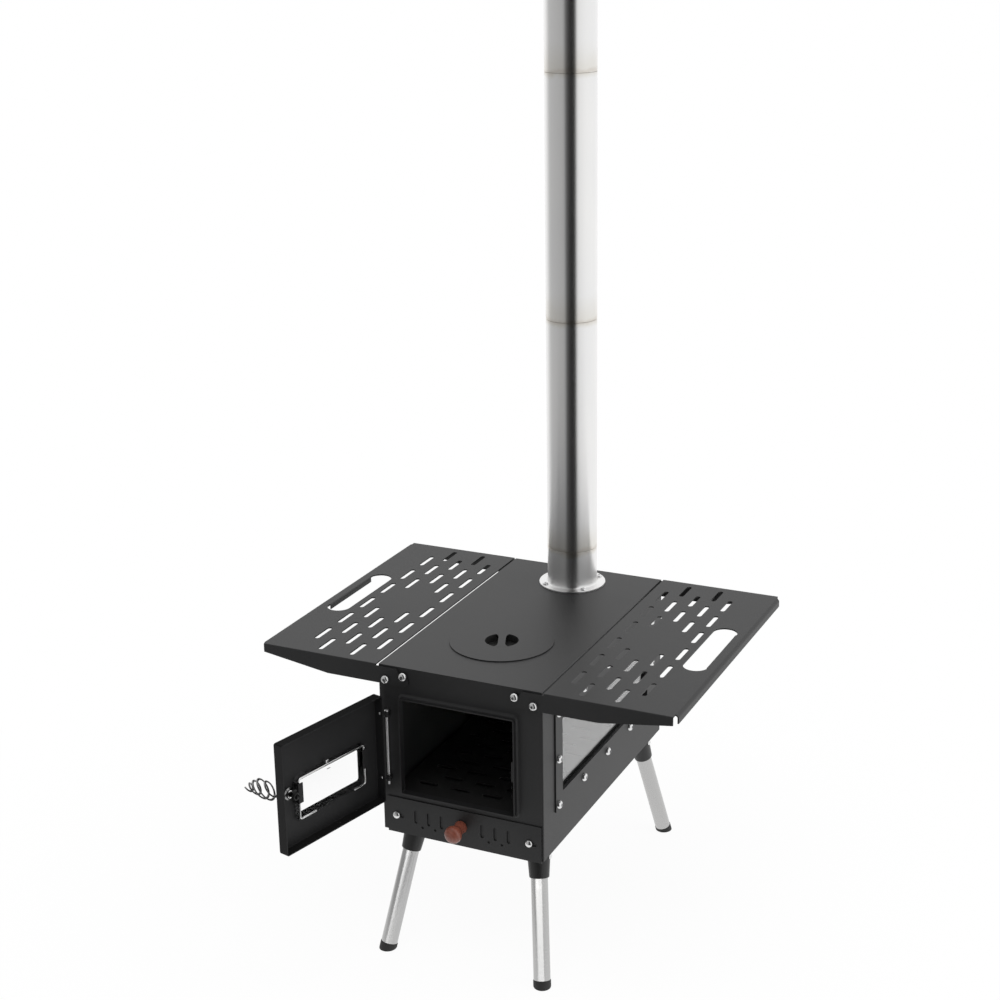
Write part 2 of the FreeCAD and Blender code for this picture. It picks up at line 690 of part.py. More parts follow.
# Back panel.
body = new_body("back_panel")
drawn = sketch(body, "back_outline", "XZ_Plane", back)
rectangle(drawn, -half_width, half_width, S.body_bottom, under_top)
for way in (-1, 1):
    circle(drawn, way * pivot_x, pivot_z, hole_radius)
    circle(drawn, way * stop_x, stop_z, hole_radius)
pad(drawn, S.sheet_wall, DOWN)
round_edges(body, "back_corner_bend", S.edge_round, back_corner)
keep(body, "back_panel")

# Grate: a folded plate that stands on the side panels' lower flanges.
GRATE_SLOT_SHARE = 0.2174
GRATE_ROW_SHARE = 0.1257
grate_edge = side_inside - S.grate_side_play
grate_half = back - S.sheet_wall - S.grate_end_play
grate_slot_step = 2 * grate_edge * GRATE_SLOT_SHARE
grate_row_step = 2 * grate_half * GRATE_ROW_SHARE
grate_under = S.grate_level - S.grate_wall
body = new_body("grate")
drawn = sketch(body, "grate_section", "XZ_Plane", -grate_half)
grate_inner = grate_edge - S.grate_wall
polygon(drawn, [(-grate_edge, ledge_top), (-grate_inner, ledge_top), (-grate_inner, grate_under),
                (grate_inner, grate_under), (grate_inner, ledge_top), (grate_edge, ledge_top),
                (grate_edge, S.grate_level), (-grate_edge, S.grate_level)])
pad(drawn, 2 * grate_half, UP)
grate_start = -(grate_row_step * (S.grate_rows - 1) / 2) - grate_row_step / 4
grate_radius = S.grate_slot_width / 2
grate_reach = S.grate_slot_length / 2 - grate_radius
for name, shifts, start in (("grate_even", (-1.5, -0.5, 0.5, 1.5), grate_start),
                            ("grate_odd", (-1, 0, 1), grate_start + grate_row_step / 2)):
    drawn = sketch(body, name, "XY_Plane", S.grate_level)
    for shift in shifts:
        slot(drawn, shift * grate_slot_step, start, grate_reach, grate_radius)
    row(cut(drawn, S.grate_wall, DOWN), "Y_Axis", grate_row_step, S.grate_rows)
keep(body, "grate")

# Cooking lid: disc, locating ring below, finger cup with a bar across it.
lid_top = S.top_height + S.lid_wall
ring_out = S.lid_hole_radius - S.lid_clearance
ring_in = ring_out - S.lid_step_wall
cup_floor = lid_top - S.cup_depth
cup_out = S.cup_radius + S.cup_wall
body = new_body("lid")
drawn = sketch(body, "lid_section", "XZ_Plane")
polygon(drawn, [(ZERO, cup_floor - S.cup_wall), (cup_out, cup_floor - S.cup_wall), (cup_out, S.top_height),
                (ring_in, S.top_height), (ring_in, S.top_height - S.lid_step_depth),
                (ring_out, S.top_height - S.lid_step_depth), (ring_out, S.top_height),
                (S.lid_radius, S.top_height), (S.lid_radius, lid_top), (S.cup_radius, lid_top),
                (S.cup_radius, cup_floor), (ZERO, cup_floor)])
spin(drawn)
drawn = sketch(body, "lid_bar", "XY_Plane", S.top_height)
bar_end = S.cup_radius + S.cup_wall / 2
rectangle(drawn, -(S.cup_bar / 2), S.cup_bar / 2, -bar_end, bar_end)
pad(drawn, S.lid_wall, UP)
bind(body, "Placement.Base.y", lid_y)
keep(body, "lid")

# Flue: flange ring, collar tube and three pushed-together pipe sections.
collar_top = S.top_height + S.flange_wall + S.collar_height
pipe_inside = S.pipe_radius - S.pipe_wall
body = new_body("flue_flange")
drawn = sketch(body, "flange_outline", "XY_Plane", S.top_height)
circle(drawn, ZERO, flue_y, S.flange_radius)
circle(drawn, ZERO, flue_y, S.pipe_radius + S.flange_fit)
for x, y in flange_spots:
    circle(drawn, x, y, S.flange_screw_radius + S.thread_play)
pad(drawn, S.flange_wall, UP)
keep(body, "flue_flange")

body = new_body("flue_collar")
drawn = sketch(body, "collar_ring", "XY_Plane", under_top - S.collar_tuck)
circle(drawn, ZERO, flue_y, S.pipe_radius)
circle(drawn, ZERO, flue_y, pipe_inside)
pad(drawn, collar_top - under_top + S.collar_tuck, UP)
keep(body, "flue_collar")

spigot_out = pipe_inside - S.spigot_clearance
spigot_in = spigot_out - S.pipe_wall
for index, name in enumerate(("lower", "middle", "upper")):
    rim_below = collar_top + index * S.pipe_visible
    shoulder = rim_below + S.shoulder_gap
    rim = rim_below + S.pipe_visible
    body = new_body(f"flue_pipe_{name}")
    drawn = sketch(body, f"pipe_section_{name}", "XZ_Plane")
    polygon(drawn, [(spigot_in, rim_below - S.spigot_length), (spigot_out, rim_below - S.spigot_length),
                    (spigot_out, shoulder), (S.pipe_radius, shoulder), (S.pipe_radius, rim), (pipe_inside, rim),
                    (pipe_inside, shoulder + S.pipe_wall), (spigot_in, shoulder + S.pipe_wall)])
    spin(drawn)
    bind(body, "Placement.Base.y", flue_y)
    keep(body, f"flue_pipe_{name}")

shape = screw(S.flange_screw_head, S.flange_screw_rise, S.flange_screw_radius, S.flange_wall + S.top_wall)
seat = S.top_height + S.flange_wall
flange_screws = [placed(shape, V(x.value, y.value, seat.value), Z_WAY) for x, y in flange_spots]
feature("flange_screws", Part.Compound(flange_screws))

# Side shelves: slotted trays whose flanges hook on the bolts.
shelf_inner = top_edge + S.shelf_gap
shelf_outer = shelf_inner + S.shelf_width
shelf_half = back + S.hook_side + S.shelf_wall
shelf_under = S.top_height - S.shelf_wall
skirt_low = S.top_height - S.shelf_skirt
flange_outer = shelf_outer - S.flange_short
tail_x = pivot_x - S.tail_length
tail_z = stop_z - S.bolt_radius - S.tail_play
bolt_gap_x = pivot_x - stop_x
bolt_gap_z = stop_z - pivot_z
swing_reach = (bolt_gap_x * bolt_gap_x + bolt_gap_z * bolt_gap_z).root() - S.bolt_radius - S.tail_swing
tail_rise = tail_z - pivot_z
heel_z = S.top_height - S.tail_drop
heel_rise = heel_z - pivot_z
tail_root_x = pivot_x - (swing_reach * swing_reach - tail_rise * tail_rise).root()
heel_x = pivot_x - (swing_reach * swing_reach - heel_rise * heel_rise).root()
flange_outline = [(flange_outer, S.top_height), (flange_outer, S.top_height - S.shelf_skirt_end),
                  (shelf_inner + S.skirt_straight, skirt_low), (tail_x + S.tail_round, skirt_low),
                  (tail_x, skirt_low + S.tail_round), (tail_x, tail_z), (tail_root_x, tail_z), (heel_x, heel_z),
                  (shelf_inner, heel_z), (shelf_inner, S.top_height)]
SLOT_PITCH_SHARE = 0.14063
SLOT_LENGTH_SHARE = 0.663
HAND_LENGTH_SHARE = 0.351
slot_pitch = 2 * shelf_half * SLOT_PITCH_SHARE
slot_radius = S.slot_width / 2
slot_reach = slot_pitch * SLOT_LENGTH_SHARE / 2 - slot_radius
hand_radius = S.hand_width / 2
hand_reach = shelf_half * HAND_LENGTH_SHARE - hand_radius
hook_radius = S.bolt_radius + S.hook_clearance
column = [half_width + S.first_column + count * S.slot_column for count in range(5)]
shelf_rows = [("front_long", (0, 4), -2.5, 3), ("front_short", (2,), -2.5, 2), ("front_odd", (1, 3), -3, 3),
              ("back_long", (0, 4), 0.5, 3), ("back_short", (2,), 1.5, 2), ("back_odd", (1, 3), 1, 3)]


def outer_bend(edge, middle):
    return near(abs(middle.x), shelf_outer) and near(middle.z, S.top_height)


def inner_bend(edge, middle):
    return near(abs(middle.x), shelf_outer - S.shelf_wall) and near(middle.z, shelf_under)


def flange_bend(edge, middle):
    return near(abs(middle.y), shelf_half) and near(middle.z, S.top_height)


for name, side in (("left", -1), ("right", 1)):
    body = new_body(f"shelf_{name}")
    notch_y = shelf_half - S.corner_relief
    drawn = sketch(body, f"shelf_top_{name}", "XY_Plane", shelf_under)
    top_points = [(shelf_inner, -shelf_half), (flange_outer, -shelf_half), (flange_outer, -notch_y),
                  (shelf_outer, -notch_y), (shelf_outer, notch_y), (flange_outer, notch_y),
                  (flange_outer, shelf_half), (shelf_inner, shelf_half)]
    polygon(drawn, [(side * x, y) for x, y in top_points])
    pad(drawn, S.shelf_wall, UP)
    for end, place, way in (("front", -shelf_half, UP), ("back", shelf_half, DOWN)):
        drawn = sketch(body, f"shelf_flange_{end}_{name}", "XZ_Plane", place)
        polygon(drawn, [(side * x, z) for x, z in flange_outline])
        pad(drawn, S.shelf_wall, way)
    drawn = sketch(body, f"shelf_rim_{name}", "XY_Plane", S.top_height)
    rectangle(drawn, side * (shelf_outer - S.shelf_wall), side * shelf_outer, -notch_y, notch_y)
    pad(drawn, S.shelf_rim, DOWN)
    round_edges(body, f"shelf_outer_bend_{name}", S.shelf_bend, outer_bend)
    round_edges(body, f"shelf_inner_bend_{name}", S.shelf_bend - S.shelf_wall, inner_bend)
    round_edges(body, f"shelf_flange_bend_{name}", S.shelf_edge, flange_bend)
    drawn = sketch(body, f"shelf_hooks_{name}", "XZ_Plane", -(shelf_half + S.cut_over))
    hook_reach = (pivot_z - skirt_low + hook_radius) / 2
    slot(drawn, side * pivot_x, pivot_z - hook_reach, hook_reach, hook_radius, upright=True)
    cut(drawn, 2 * (shelf_half + S.cut_over), UP)
    drawn = sketch(body, f"shelf_hand_{name}", "XY_Plane", S.top_height)
    slot(drawn, side * (half_width + S.hand_place), ZERO, hand_reach, hand_radius, upright=True)
    cut(drawn, S.shelf_wall, DOWN)
    for kind, columns, first_row, count in shelf_rows:
        drawn = sketch(body, f"shelf_{kind}_{name}", "XY_Plane", S.top_height)
        for number in columns:
            slot(drawn, side * column[number], first_row * slot_pitch, slot_reach, slot_radius, upright=True)
        row(cut(drawn, S.shelf_wall, DOWN), "Y_Axis", slot_pitch, count)
    keep(body, f"shelf_{name}")

bolt_seat = back + 2 * S.hook_side + S.shelf_wall
bolt_length = bolt_seat - back + S.sheet_wall + S.nut_height + S.thread_end
shape = screw(S.bolt_head, S.bolt_rise, S.bolt_radius, bolt_length)
nut_shape = nut(S.nut_flat, S.nut_height, S.bolt_radius + S.thread_play)
nuts = []
for label, spot_x, spot_z in (("shelf_pivot_bolts", pivot_x, pivot_z), ("shelf_stop_bolts", stop_x, stop_z)):
    bolts = []
    for side in (-1, 1):
        for way in (-1, 1):
            x = side * spot_x.value
            bolts.append(placed(shape, V(x, way * bolt_seat.value, spot_z.value), Y_WAY * way))
            nuts.append(placed(nut_shape, V(x, way * (back - S.sheet_wall).value, spot_z.value), Y_WAY * -way))
    feature(label, Part.Compound(bolts))
feature("shelf_bolt_nuts", Part.Compound(nuts))

# Side window on the right: frame outside; gasket, pane and joggled retainer inside.
glass_stack = S.gasket_wall + S.glass_wall
lap = S.glass_lap
glass_box = (-(window_half + lap), window_half + lap, window_low - lap, window_high + lap)
body = new_body("window_frame")
drawn = sketch(body, "frame_outline", "YZ_Plane", half_width)
rectangle(drawn, -frame_half, frame_half, frame_low, frame_high)
rectangle(drawn, -window_half, window_half, window_low, window_high)
for y, z in window_spots:
    circle(drawn, y, z, hole_radius)
pad(drawn, S.frame_wall, UP)
keep(body, "window_frame")

body = new_body("window_gasket")
drawn = sketch(body, "gasket_outline", "YZ_Plane", side_inside)
rectangle(drawn, *glass_box)
rectangle(drawn, -window_half, window_half, window_low, window_high)
pad(drawn, S.gasket_wall, DOWN)
keep(body, "window_gasket")

body = new_body("window_pane")
drawn = sketch(body, "glass_outline", "YZ_Plane", side_inside - S.gasket_wall)
rectangle(drawn, *glass_box)
pad(drawn, S.glass_wall, DOWN)
keep(body, "window_pane")

body = new_body("window_retainer")
drawn = sketch(body, "retainer_rim", "YZ_Plane", side_inside)
rectangle(drawn, -frame_half, frame_half, frame_low, frame_high)
for y, z in window_spots:
    circle(drawn, y, z, hole_radius)
pad(drawn, S.retainer_wall, DOWN)
room = lap + S.retainer_play
step = room + S.retainer_wall
drawn = sketch(body, "retainer_step", "YZ_Plane", side_inside)
rectangle(drawn, -(window_half + step), window_half + step, window_low - step, window_high + step)
pad(drawn, glass_stack + S.retainer_wall, DOWN)
drawn = sketch(body, "retainer_room", "YZ_Plane", side_inside)
rectangle(drawn, -(window_half + room), window_half + room, window_low - room, window_high + room)
cut(drawn, glass_stack, DOWN)
drawn = sketch(body, "retainer_window", "YZ_Plane", side_inside)
rectangle(drawn, -window_half, window_half, window_low, window_high)
cut(drawn, glass_stack + S.retainer_wall + S.cut_over, DOWN)
keep(body, "window_retainer")

bolt_x = half_width + S.frame_wall
nut_x = side_inside - S.retainer_wall
window_bolt_length = bolt_x - nut_x + S.nut_height + S.thread_end
shape = screw(S.bolt_head, S.bolt_rise, S.bolt_radius, window_bolt_length)
window_bolts = []
window_nuts = []
for y, z in window_spots:
    window_bolts.append(placed(shape, V(bolt_x.value, y.value, z.value), X_WAY))
    window_nuts.append(placed(nut_shape, V(nut_x.value, y.value, z.value), -X_WAY))
feature("window_bolts", Part.Compound(window_bolts))
feature("window_nuts", Part.Compound(window_nuts))

# Air slider on two dome screws, with a turned knob.
slider_back = front - S.slider_play
slider_face = slider_back - S.slider_wall
slider_top = S.slider_bottom + S.slider_height
body = new_body("air_slider")
drawn = sketch(body, "slider_outline", "XZ_Plane", slider_back)
slider_half = half_width - S.slider_inset
rectangle(drawn, S.slider_shift - slider_half, S.slider_shift + slider_half, S.slider_bottom, slider_top)
for x in slits:
    slot(drawn, x, S.slit_level, slit_reach, slit_radius, upright=True)
for way in (-1, 1):
    slot(drawn, S.slider_shift + way * slider_screw_x, S.slider_screw_level, S.slider_travel,
         S.slider_screw_radius + S.slider_slot_play)
    for count in (0, 1):
        x = S.slit_start + S.slit_pitch * count + S.slit_pitch / 2
        circle(drawn, way * x, S.slit_level - S.pin_hole_drop, S.pin_hole_radius)
knob_x = S.slider_shift + S.knob_shift
circle(drawn, knob_x, S.knob_level, S.knob_screw_radius + S.knob_screw_play)
pad(drawn, S.slider_wall, DOWN)
keep(body, "air_slider")

screw_seat = slider_face - S.slider_play
screw_length = front + S.sheet_wall - screw_seat + S.nut_height + S.thread_end
shape = screw(S.slider_screw_head, S.slider_screw_rise, S.slider_screw_radius, screw_length)
small_nut = nut(S.nut_flat, S.nut_height, S.slider_screw_radius + S.thread_play)
screws = []
nuts = []
for way in (-1, 1):
    x = way * slider_screw_x.value
    z = S.slider_screw_level.value
    screws.append(placed(shape, V(x, screw_seat.value, z), -Y_WAY))
    nuts.append(placed(small_nut, V(x, (front + S.sheet_wall).value, z), Y_WAY))
feature("slider_screws", Part.Compound(screws))
feature("slider_nuts", Part.Compound(nuts))

# Knob: arcs for the flared base, the waist, the head and its domed end.
KNOB_SHARES = {"waist": 0.42, "swell": 0.64, "crest": 0.8, "shoulder": 0.94}
KNOB_SWELL_SHARE = 0.86
KNOB_SHOULDER_SHARE = 0.78
long = S.knob_length.value
head = S.knob_head.value
base_point = V(S.knob_base.value, 0, 0)
waist_point = V(S.knob_neck.value, 0, long * KNOB_SHARES["waist"])
swell_point = V(head * KNOB_SWELL_SHARE, 0, long * KNOB_SHARES["swell"])
crest_point = V(head, 0, long * KNOB_SHARES["crest"])
shoulder_point = V(head * KNOB_SHOULDER_SHARE, 0, long * KNOB_SHARES["shoulder"])
dome_rise = long - shoulder_point.z
dome_radius = (shoulder_point.x ** 2 + dome_rise ** 2) / (2 * dome_rise)
dome_half = math.asin(shoulder_point.x / dome_radius) / 2
dome_point = V(dome_radius * math.sin(dome_half), 0, long - dome_radius * (1 - math.cos(dome_half)))
tip_point = V(0, 0, long)
bore_edge = V((S.knob_screw_radius + S.knob_screw_play).value, 0, 0)
bore_deep = V(bore_edge.x, 0, S.knob_screw_length.value)
bore_end = V(0, 0, S.knob_screw_length.value)
knob_edges = [Part.makeLine(bore_edge, base_point), Part.Arc(base_point, waist_point, swell_point).toShape(),
              Part.Arc(swell_point, crest_point, shoulder_point).toShape(),
              Part.Arc(shoulder_point, dome_point, tip_point).toShape(), Part.makeLine(tip_point, bore_end),
              Part.makeLine(bore_end, bore_deep), Part.makeLine(bore_deep, bore_edge)]
turned = Part.Face(Part.Wire(knob_edges)).revolve(V(0, 0, 0), Z_WAY, 360)
knob_spot = V(knob_x.value, slider_face.value, S.knob_level.value)
feature("knob", placed(turned, knob_spot, -Y_WAY))

screw_length = S.slider_wall + S.knob_screw_length - S.thread_end
shape = screw(S.knob_screw_head, S.knob_screw_rise, S.knob_screw_radius, screw_length)
screw_spot = V(knob_x.value, slider_back.value, S.knob_level.value)
feature("knob_screw", placed(shape, screw_spot, Y_WAY))

# Door, drawn shut and then turned open about the hinge pin.
pin_x = S.hinge_inset - half_width
pin_y = front - S.hinge_forward
pin_spot = V(pin_x.value, pin_y.value, 0)
door_turn = FreeCAD.Rotation(Z_WAY, -S.door_open.value)
door_place = FreeCAD.Placement(V(0, 0, 0), door_turn, pin_spot)
door_left = mouth_left - S.door_side
door_right = mouth_right + S.door_side
door_bottom = S.mouth_bottom - S.door_under
door_top = mouth_top + S.door_over
door_rim = front - S.door_gap
door_face = door_rim - S.door_depth
door_floor = door_face + S.door_wall
latch_x = door_right - S.latch_inset
latch_z = (door_bottom + door_top) / 2
PANE_LOW_SHARE = 0.279
PANE_HIGH_SHARE = 0.5665
glass_left = mouth_middle - S.pane_left
glass_right = mouth_middle + S.pane_right
glass_low = door_bottom + (door_top - door_bottom) * PANE_LOW_SHARE
glass_top = door_bottom + (door_top - door_bottom) * PANE_HIGH_SHARE


def outer_lip(edge, middle):
    return near(middle.y, door_face)


def inner_lip(edge, middle):
    return near(middle.y, door_floor)


body = new_body("door_pan")
drawn = sketch(body, "pan_outline", "XZ_Plane", door_face)
rounded(drawn, door_left, door_right, door_bottom, door_top, S.door_round)
pad(drawn, S.door_depth, UP)
drawn = sketch(body, "pan_room", "XZ_Plane", door_floor)
wall = S.door_wall
rounded(drawn, door_left + wall, door_right - wall, door_bottom + wall, door_top - wall, S.door_round - wall)
cut(drawn, S.door_depth, UP)
round_edges(body, "pan_outer_bend", S.door_bend, outer_lip)
round_edges(body, "pan_inner_bend", S.door_bend - wall, inner_lip)
drawn = sketch(body, "pan_window", "XZ_Plane", door_face)
rounded(drawn, glass_left, glass_right, glass_low, glass_top, S.pane_round)
circle(drawn, latch_x, latch_z, S.shaft_radius + S.shaft_play)
cut(drawn, S.door_depth, UP)
keep(body, "door_pan", door_place)

# Door pane, the bent wire that holds it and the clips over the wire.
pane_x = (glass_left - S.pane_lap, glass_right + S.pane_lap)
pane_z = (glass_low - S.pane_lap, glass_top + S.pane_lap)
pane_inside = door_floor + S.pane_wall
body = new_body("door_pane")
drawn = sketch(body, "pane_outline", "XZ_Plane", door_floor)
rectangle(drawn, *pane_x, *pane_z)
pad(drawn, S.pane_wall, UP)
keep(body, "door_pane", door_place)

wire_y = (pane_inside + S.wire_radius).value
wire_x = ((pane_x[0] + S.wire_inset).value, (pane_x[1] - S.wire_inset).value)
wire_z = ((pane_z[0] + S.wire_inset).value, (pane_z[1] - S.wire_inset).value)
bend = S.wire_bend.value
easing = bend * (1 - DIAGONAL_SHARE)
corners = [(V(wire_x[1], wire_y, wire_z[0]), X_WAY, Z_WAY), (V(wire_x[1], wire_y, wire_z[1]), Z_WAY, -X_WAY),
           (V(wire_x[0], wire_y, wire_z[1]), -X_WAY, -Z_WAY), (V(wire_x[0], wire_y, wire_z[0]), -Z_WAY, X_WAY)]
spot = V(wire_x[1] - S.wire_foot_right.value, wire_y, wire_z[0])
edges = []
for corner, coming, going in corners:
    start = corner - coming * bend
    end = corner + going * bend
    edges.append(Part.makeLine(spot, start))
    edges.append(Part.Arc(start, corner + (going - coming) * easing, end).toShape())
    spot = end
edges.append(Part.makeLine(spot, V(wire_x[0] + S.wire_foot_left.value, wire_y, wire_z[0])))
feature("pane_wire", swept(edges, S.wire_radius.value), door_place)

clip_gap = S.clip_clearance
clip_roof = S.pane_wall + 2 * S.wire_radius + clip_gap
clip_over = S.wire_inset + S.wire_radius + S.clip_reach
clip_outline = [(clip_gap, ZERO), (clip_gap + S.clip_foot, ZERO), (clip_gap + S.clip_foot, S.clip_wall),
                (clip_gap + S.clip_wall, S.clip_wall), (clip_gap + S.clip_wall, clip_roof + S.clip_wall),
                (-clip_over, clip_roof + S.clip_wall), (-clip_over, clip_roof), (clip_gap, clip_roof)]
clip_level = (glass_low + glass_top) / 2 + S.clip_rise
clip_low = (clip_level - S.clip_length / 2).value
clip_high = (clip_level + S.clip_length / 2).value
tab_x = (mouth_middle + S.tab_place - S.tab_length / 2).value
floor_y = door_floor.value
clips = [prism(clip_outline, S.clip_length, V(pane_x[0].value, floor_y, clip_high), -X_WAY, Y_WAY),
         prism(clip_outline, S.clip_length, V(pane_x[1].value, floor_y, clip_low), X_WAY, Y_WAY),
         prism(clip_outline, S.tab_length, V(tab_x + S.tab_length.value, floor_y, pane_z[1].value), Z_WAY, Y_WAY)]
feature("pane_clips", Part.Compound(clips), door_place)

# Door hinge: paired knuckles and a long loose pin.
ARM_SHARE = 0.6
arm_half = S.knuckle_radius.value * ARM_SHARE
knuckle = S.knuckle_wall.value
bore = Part.makeCylinder((S.pin_radius + S.pin_play).value, S.top_height.value, pin_spot)
door_knuckles = []
body_knuckles = []
hinge_lower = door_bottom + S.hinge_end
hinge_upper = door_top - S.hinge_end
for level in (hinge_lower, hinge_upper):
    door_z = (level + S.knuckle_gap / 2).value
    body_z = (level - S.knuckle_gap / 2 - S.knuckle_wall).value
    ring = Part.makeCylinder(S.knuckle_radius.value, knuckle, V(pin_spot.x, pin_spot.y, door_z))
    arm_spot = V(pin_spot.x, pin_spot.y - arm_half, door_z)
    arm = Part.makeBox((door_left - pin_x).value, 2 * arm_half, knuckle, arm_spot)
    door_knuckles.append(ring.fuse(arm).removeSplitter().cut(bore))
    ring = Part.makeCylinder(S.knuckle_radius.value, knuckle, V(pin_spot.x, pin_spot.y, body_z))
    arm_spot = V(pin_spot.x - arm_half, pin_spot.y, body_z)
    arm = Part.makeBox(2 * arm_half, S.hinge_forward.value, knuckle, arm_spot)
    body_knuckles.append(ring.fuse(arm).removeSplitter().cut(bore))
feature("door_knuckles", Part.Compound(door_knuckles), door_place)
feature("body_knuckles", Part.Compound(body_knuckles))

pin_top = hinge_upper + S.knuckle_gap / 2 + S.knuckle_wall + S.knuckle_gap
pin_low = hinge_lower - S.knuckle_gap / 2 - S.knuckle_wall - S.pin_tail
shape = screw(S.pin_head, S.pin_head_rise, S.pin_radius, pin_top - pin_low)
feature("hinge_pin", placed(shape, V(pin_spot.x, pin_spot.y, pin_top.value), Z_WAY))

# Latch: shaft through the door, cam and nut inside; strike tab on the collar.
strike_y = front - S.collar_depth + S.strike_setback
cam_start = strike_y + S.sheet_wall + S.cam_gap - door_face
cam_end = cam_start + S.cam_wall
nut_end = cam_end + S.latch_nut_height
washer_out = S.hub_gap + S.washer_wall
stub_end = washer_out + S.coil_lead + S.stub_length
latch_spot = FreeCAD.Placement(V(latch_x.value, door_face.value, latch_z.value),
                               FreeCAD.Rotation(Z_WAY, -Y_WAY))
latch_place = door_place.multiply(latch_spot)
body = new_body("latch_shaft")
drawn = sketch(body, "shaft_section", "XZ_Plane")
shaft = S.shaft_radius
hub_start = -(S.door_wall + S.hub_gap)
polygon(drawn, [(ZERO, stub_end), (ZERO, -(nut_end + S.thread_end)), (shaft, -(nut_end + S.thread_end)),
                (shaft, -cam_start), (S.hub_radius, -cam_start), (S.hub_radius, hub_start - S.hub_flange_wall),
                (S.hub_flange, hub_start - S.hub_flange_wall), (S.hub_flange, hub_start), (shaft, hub_start),
                (shaft, S.hub_gap), (S.washer_radius, S.hub_gap), (S.washer_radius, washer_out),
                (shaft, washer_out), (shaft, stub_end)])
spin(drawn)
keep(body, "latch_shaft", latch_place)

cam_half = S.cam_half_angle.value
eye = Part.makeCylinder(S.hub_radius.value, S.cam_wall.value, V(0, 0, -cam_end.value))
lobe = Part.makeCylinder(S.cam_reach.value, S.cam_wall.value, V(0, 0, -cam_end.value), Z_WAY, 2 * cam_half)
lobe.rotate(V(0, 0, 0), Z_WAY, 90 - cam_half)
eye_hole = Part.makeCylinder((shaft + S.thread_play).value, S.cam_wall.value, V(0, 0, -cam_end.value))
feature("latch_cam", eye.fuse(lobe).removeSplitter().cut(eye_hole), latch_place)

shape = nut(S.nut_flat, S.latch_nut_height, shaft + S.thread_play)
shape.translate(V(0, 0, -nut_end.value))
feature("latch_nut", shape, latch_place)

strike = doc.addObject("Part::Box", "latch_strike")
bind(strike, "Length", S.strike_reach)
bind(strike, "Width", S.sheet_wall)
bind(strike, "Height", S.strike_height)
bind(strike, "Placement.Base.x", mouth_right - S.strike_reach)
bind(strike, "Placement.Base.y", strike_y)
bind(strike, "Placement.Base.z", latch_z - S.strike_height / 2)
keep(strike, "latch_strike")

# Coil handle: one wire wound from the shaft out to a wide belly and in to a tip, leaning to the door's free edge.
COIL_BELLY_SHARE = 0.42
turns = int(S.coil_turns.value)
coil_start = (washer_out + S.coil_lead).value
wire = S.coil_wire.value


def blend(a, b, share):
    return a + (b - a) * (1 - math.cos(math.pi * share)) / 2


def coil_point(share):
    """The wire's middle line: share runs from 0 at the shaft to 1 at the tip."""
    if share < COIL_BELLY_SHARE:
        reach = blend(S.coil_seat.value, S.coil_wide.value, share / COIL_BELLY_SHARE)
    else:
        reach = blend(S.coil_wide.value, S.coil_tip.value, (share - COIL_BELLY_SHARE) / (1 - COIL_BELLY_SHARE))
    turn = 2 * math.pi * turns * share
    return V(reach * math.cos(turn), reach * math.sin(turn), coil_start + S.coil_length.value * share)


def coil_way(share):
    step = 1e-4
    ahead = coil_point(min(share + step, 1))
    behind = coil_point(max(share - step, 0))
    return (ahead - behind).normalize()


def arc_between(start, way, end):
    """The arc that leaves start along way and reaches end."""
    chord = end - start
    weight = way.dot(chord) / chord.Length
    lead = chord.Length / (2 * weight)
    middle = (start + (start + way * lead) * (2 * weight) + end) * (1 / (2 * (1 + weight)))
    return Part.Arc(start, middle, end).toShape()


def biarc(start, way, end, way_end):
    """Two tangent arcs from one point and direction to another."""
    chord = end - start
    both = way + way_end
    bend_share = 2 * (1 - way.dot(way_end))
    pull = chord.dot(both)
    lead = (math.sqrt(pull * pull + bend_share * chord.dot(chord)) - pull) / bend_share
    join = (start + way * lead + end - way_end * lead) * 0.5
    join_way = (end - way_end * lead - start - way * lead).normalize()
    return [arc_between(start, way, join), arc_between(join, join_way, end)]


quarters = 4 * turns
stations = [index / quarters for index in range(quarters + 1)]
spots = [coil_point(share) for share in stations]
ways = [coil_way(share) for share in stations]
edges = [Part.makeLine(spots[0] - ways[0] * (2 * wire), spots[0])]
for index in range(quarters):
    edges += biarc(spots[index], ways[index], spots[index + 1], ways[index + 1])
edges.append(Part.makeLine(spots[-1], spots[-1] + ways[-1] * (2 * wire)))
coil = swept(edges, wire)
coil.rotate(V(0, 0, coil_start), Y_WAY, S.coil_lean.value)
feature("coil_handle", coil, latch_place)

GAP_SAMPLES = 40
path = [coil_point(index / (turns * GAP_SAMPLES)) for index in range(turns * GAP_SAMPLES + 1)]
pairs = [(a, b) for a in range(len(path)) for b in range(a + GAP_SAMPLES // 2, len(path))]
least = min((path[a] - path[b]).Length for a, b in pairs)
print("coil handle, least gap to itself:", round(least - 2 * wire, 3), "mm")

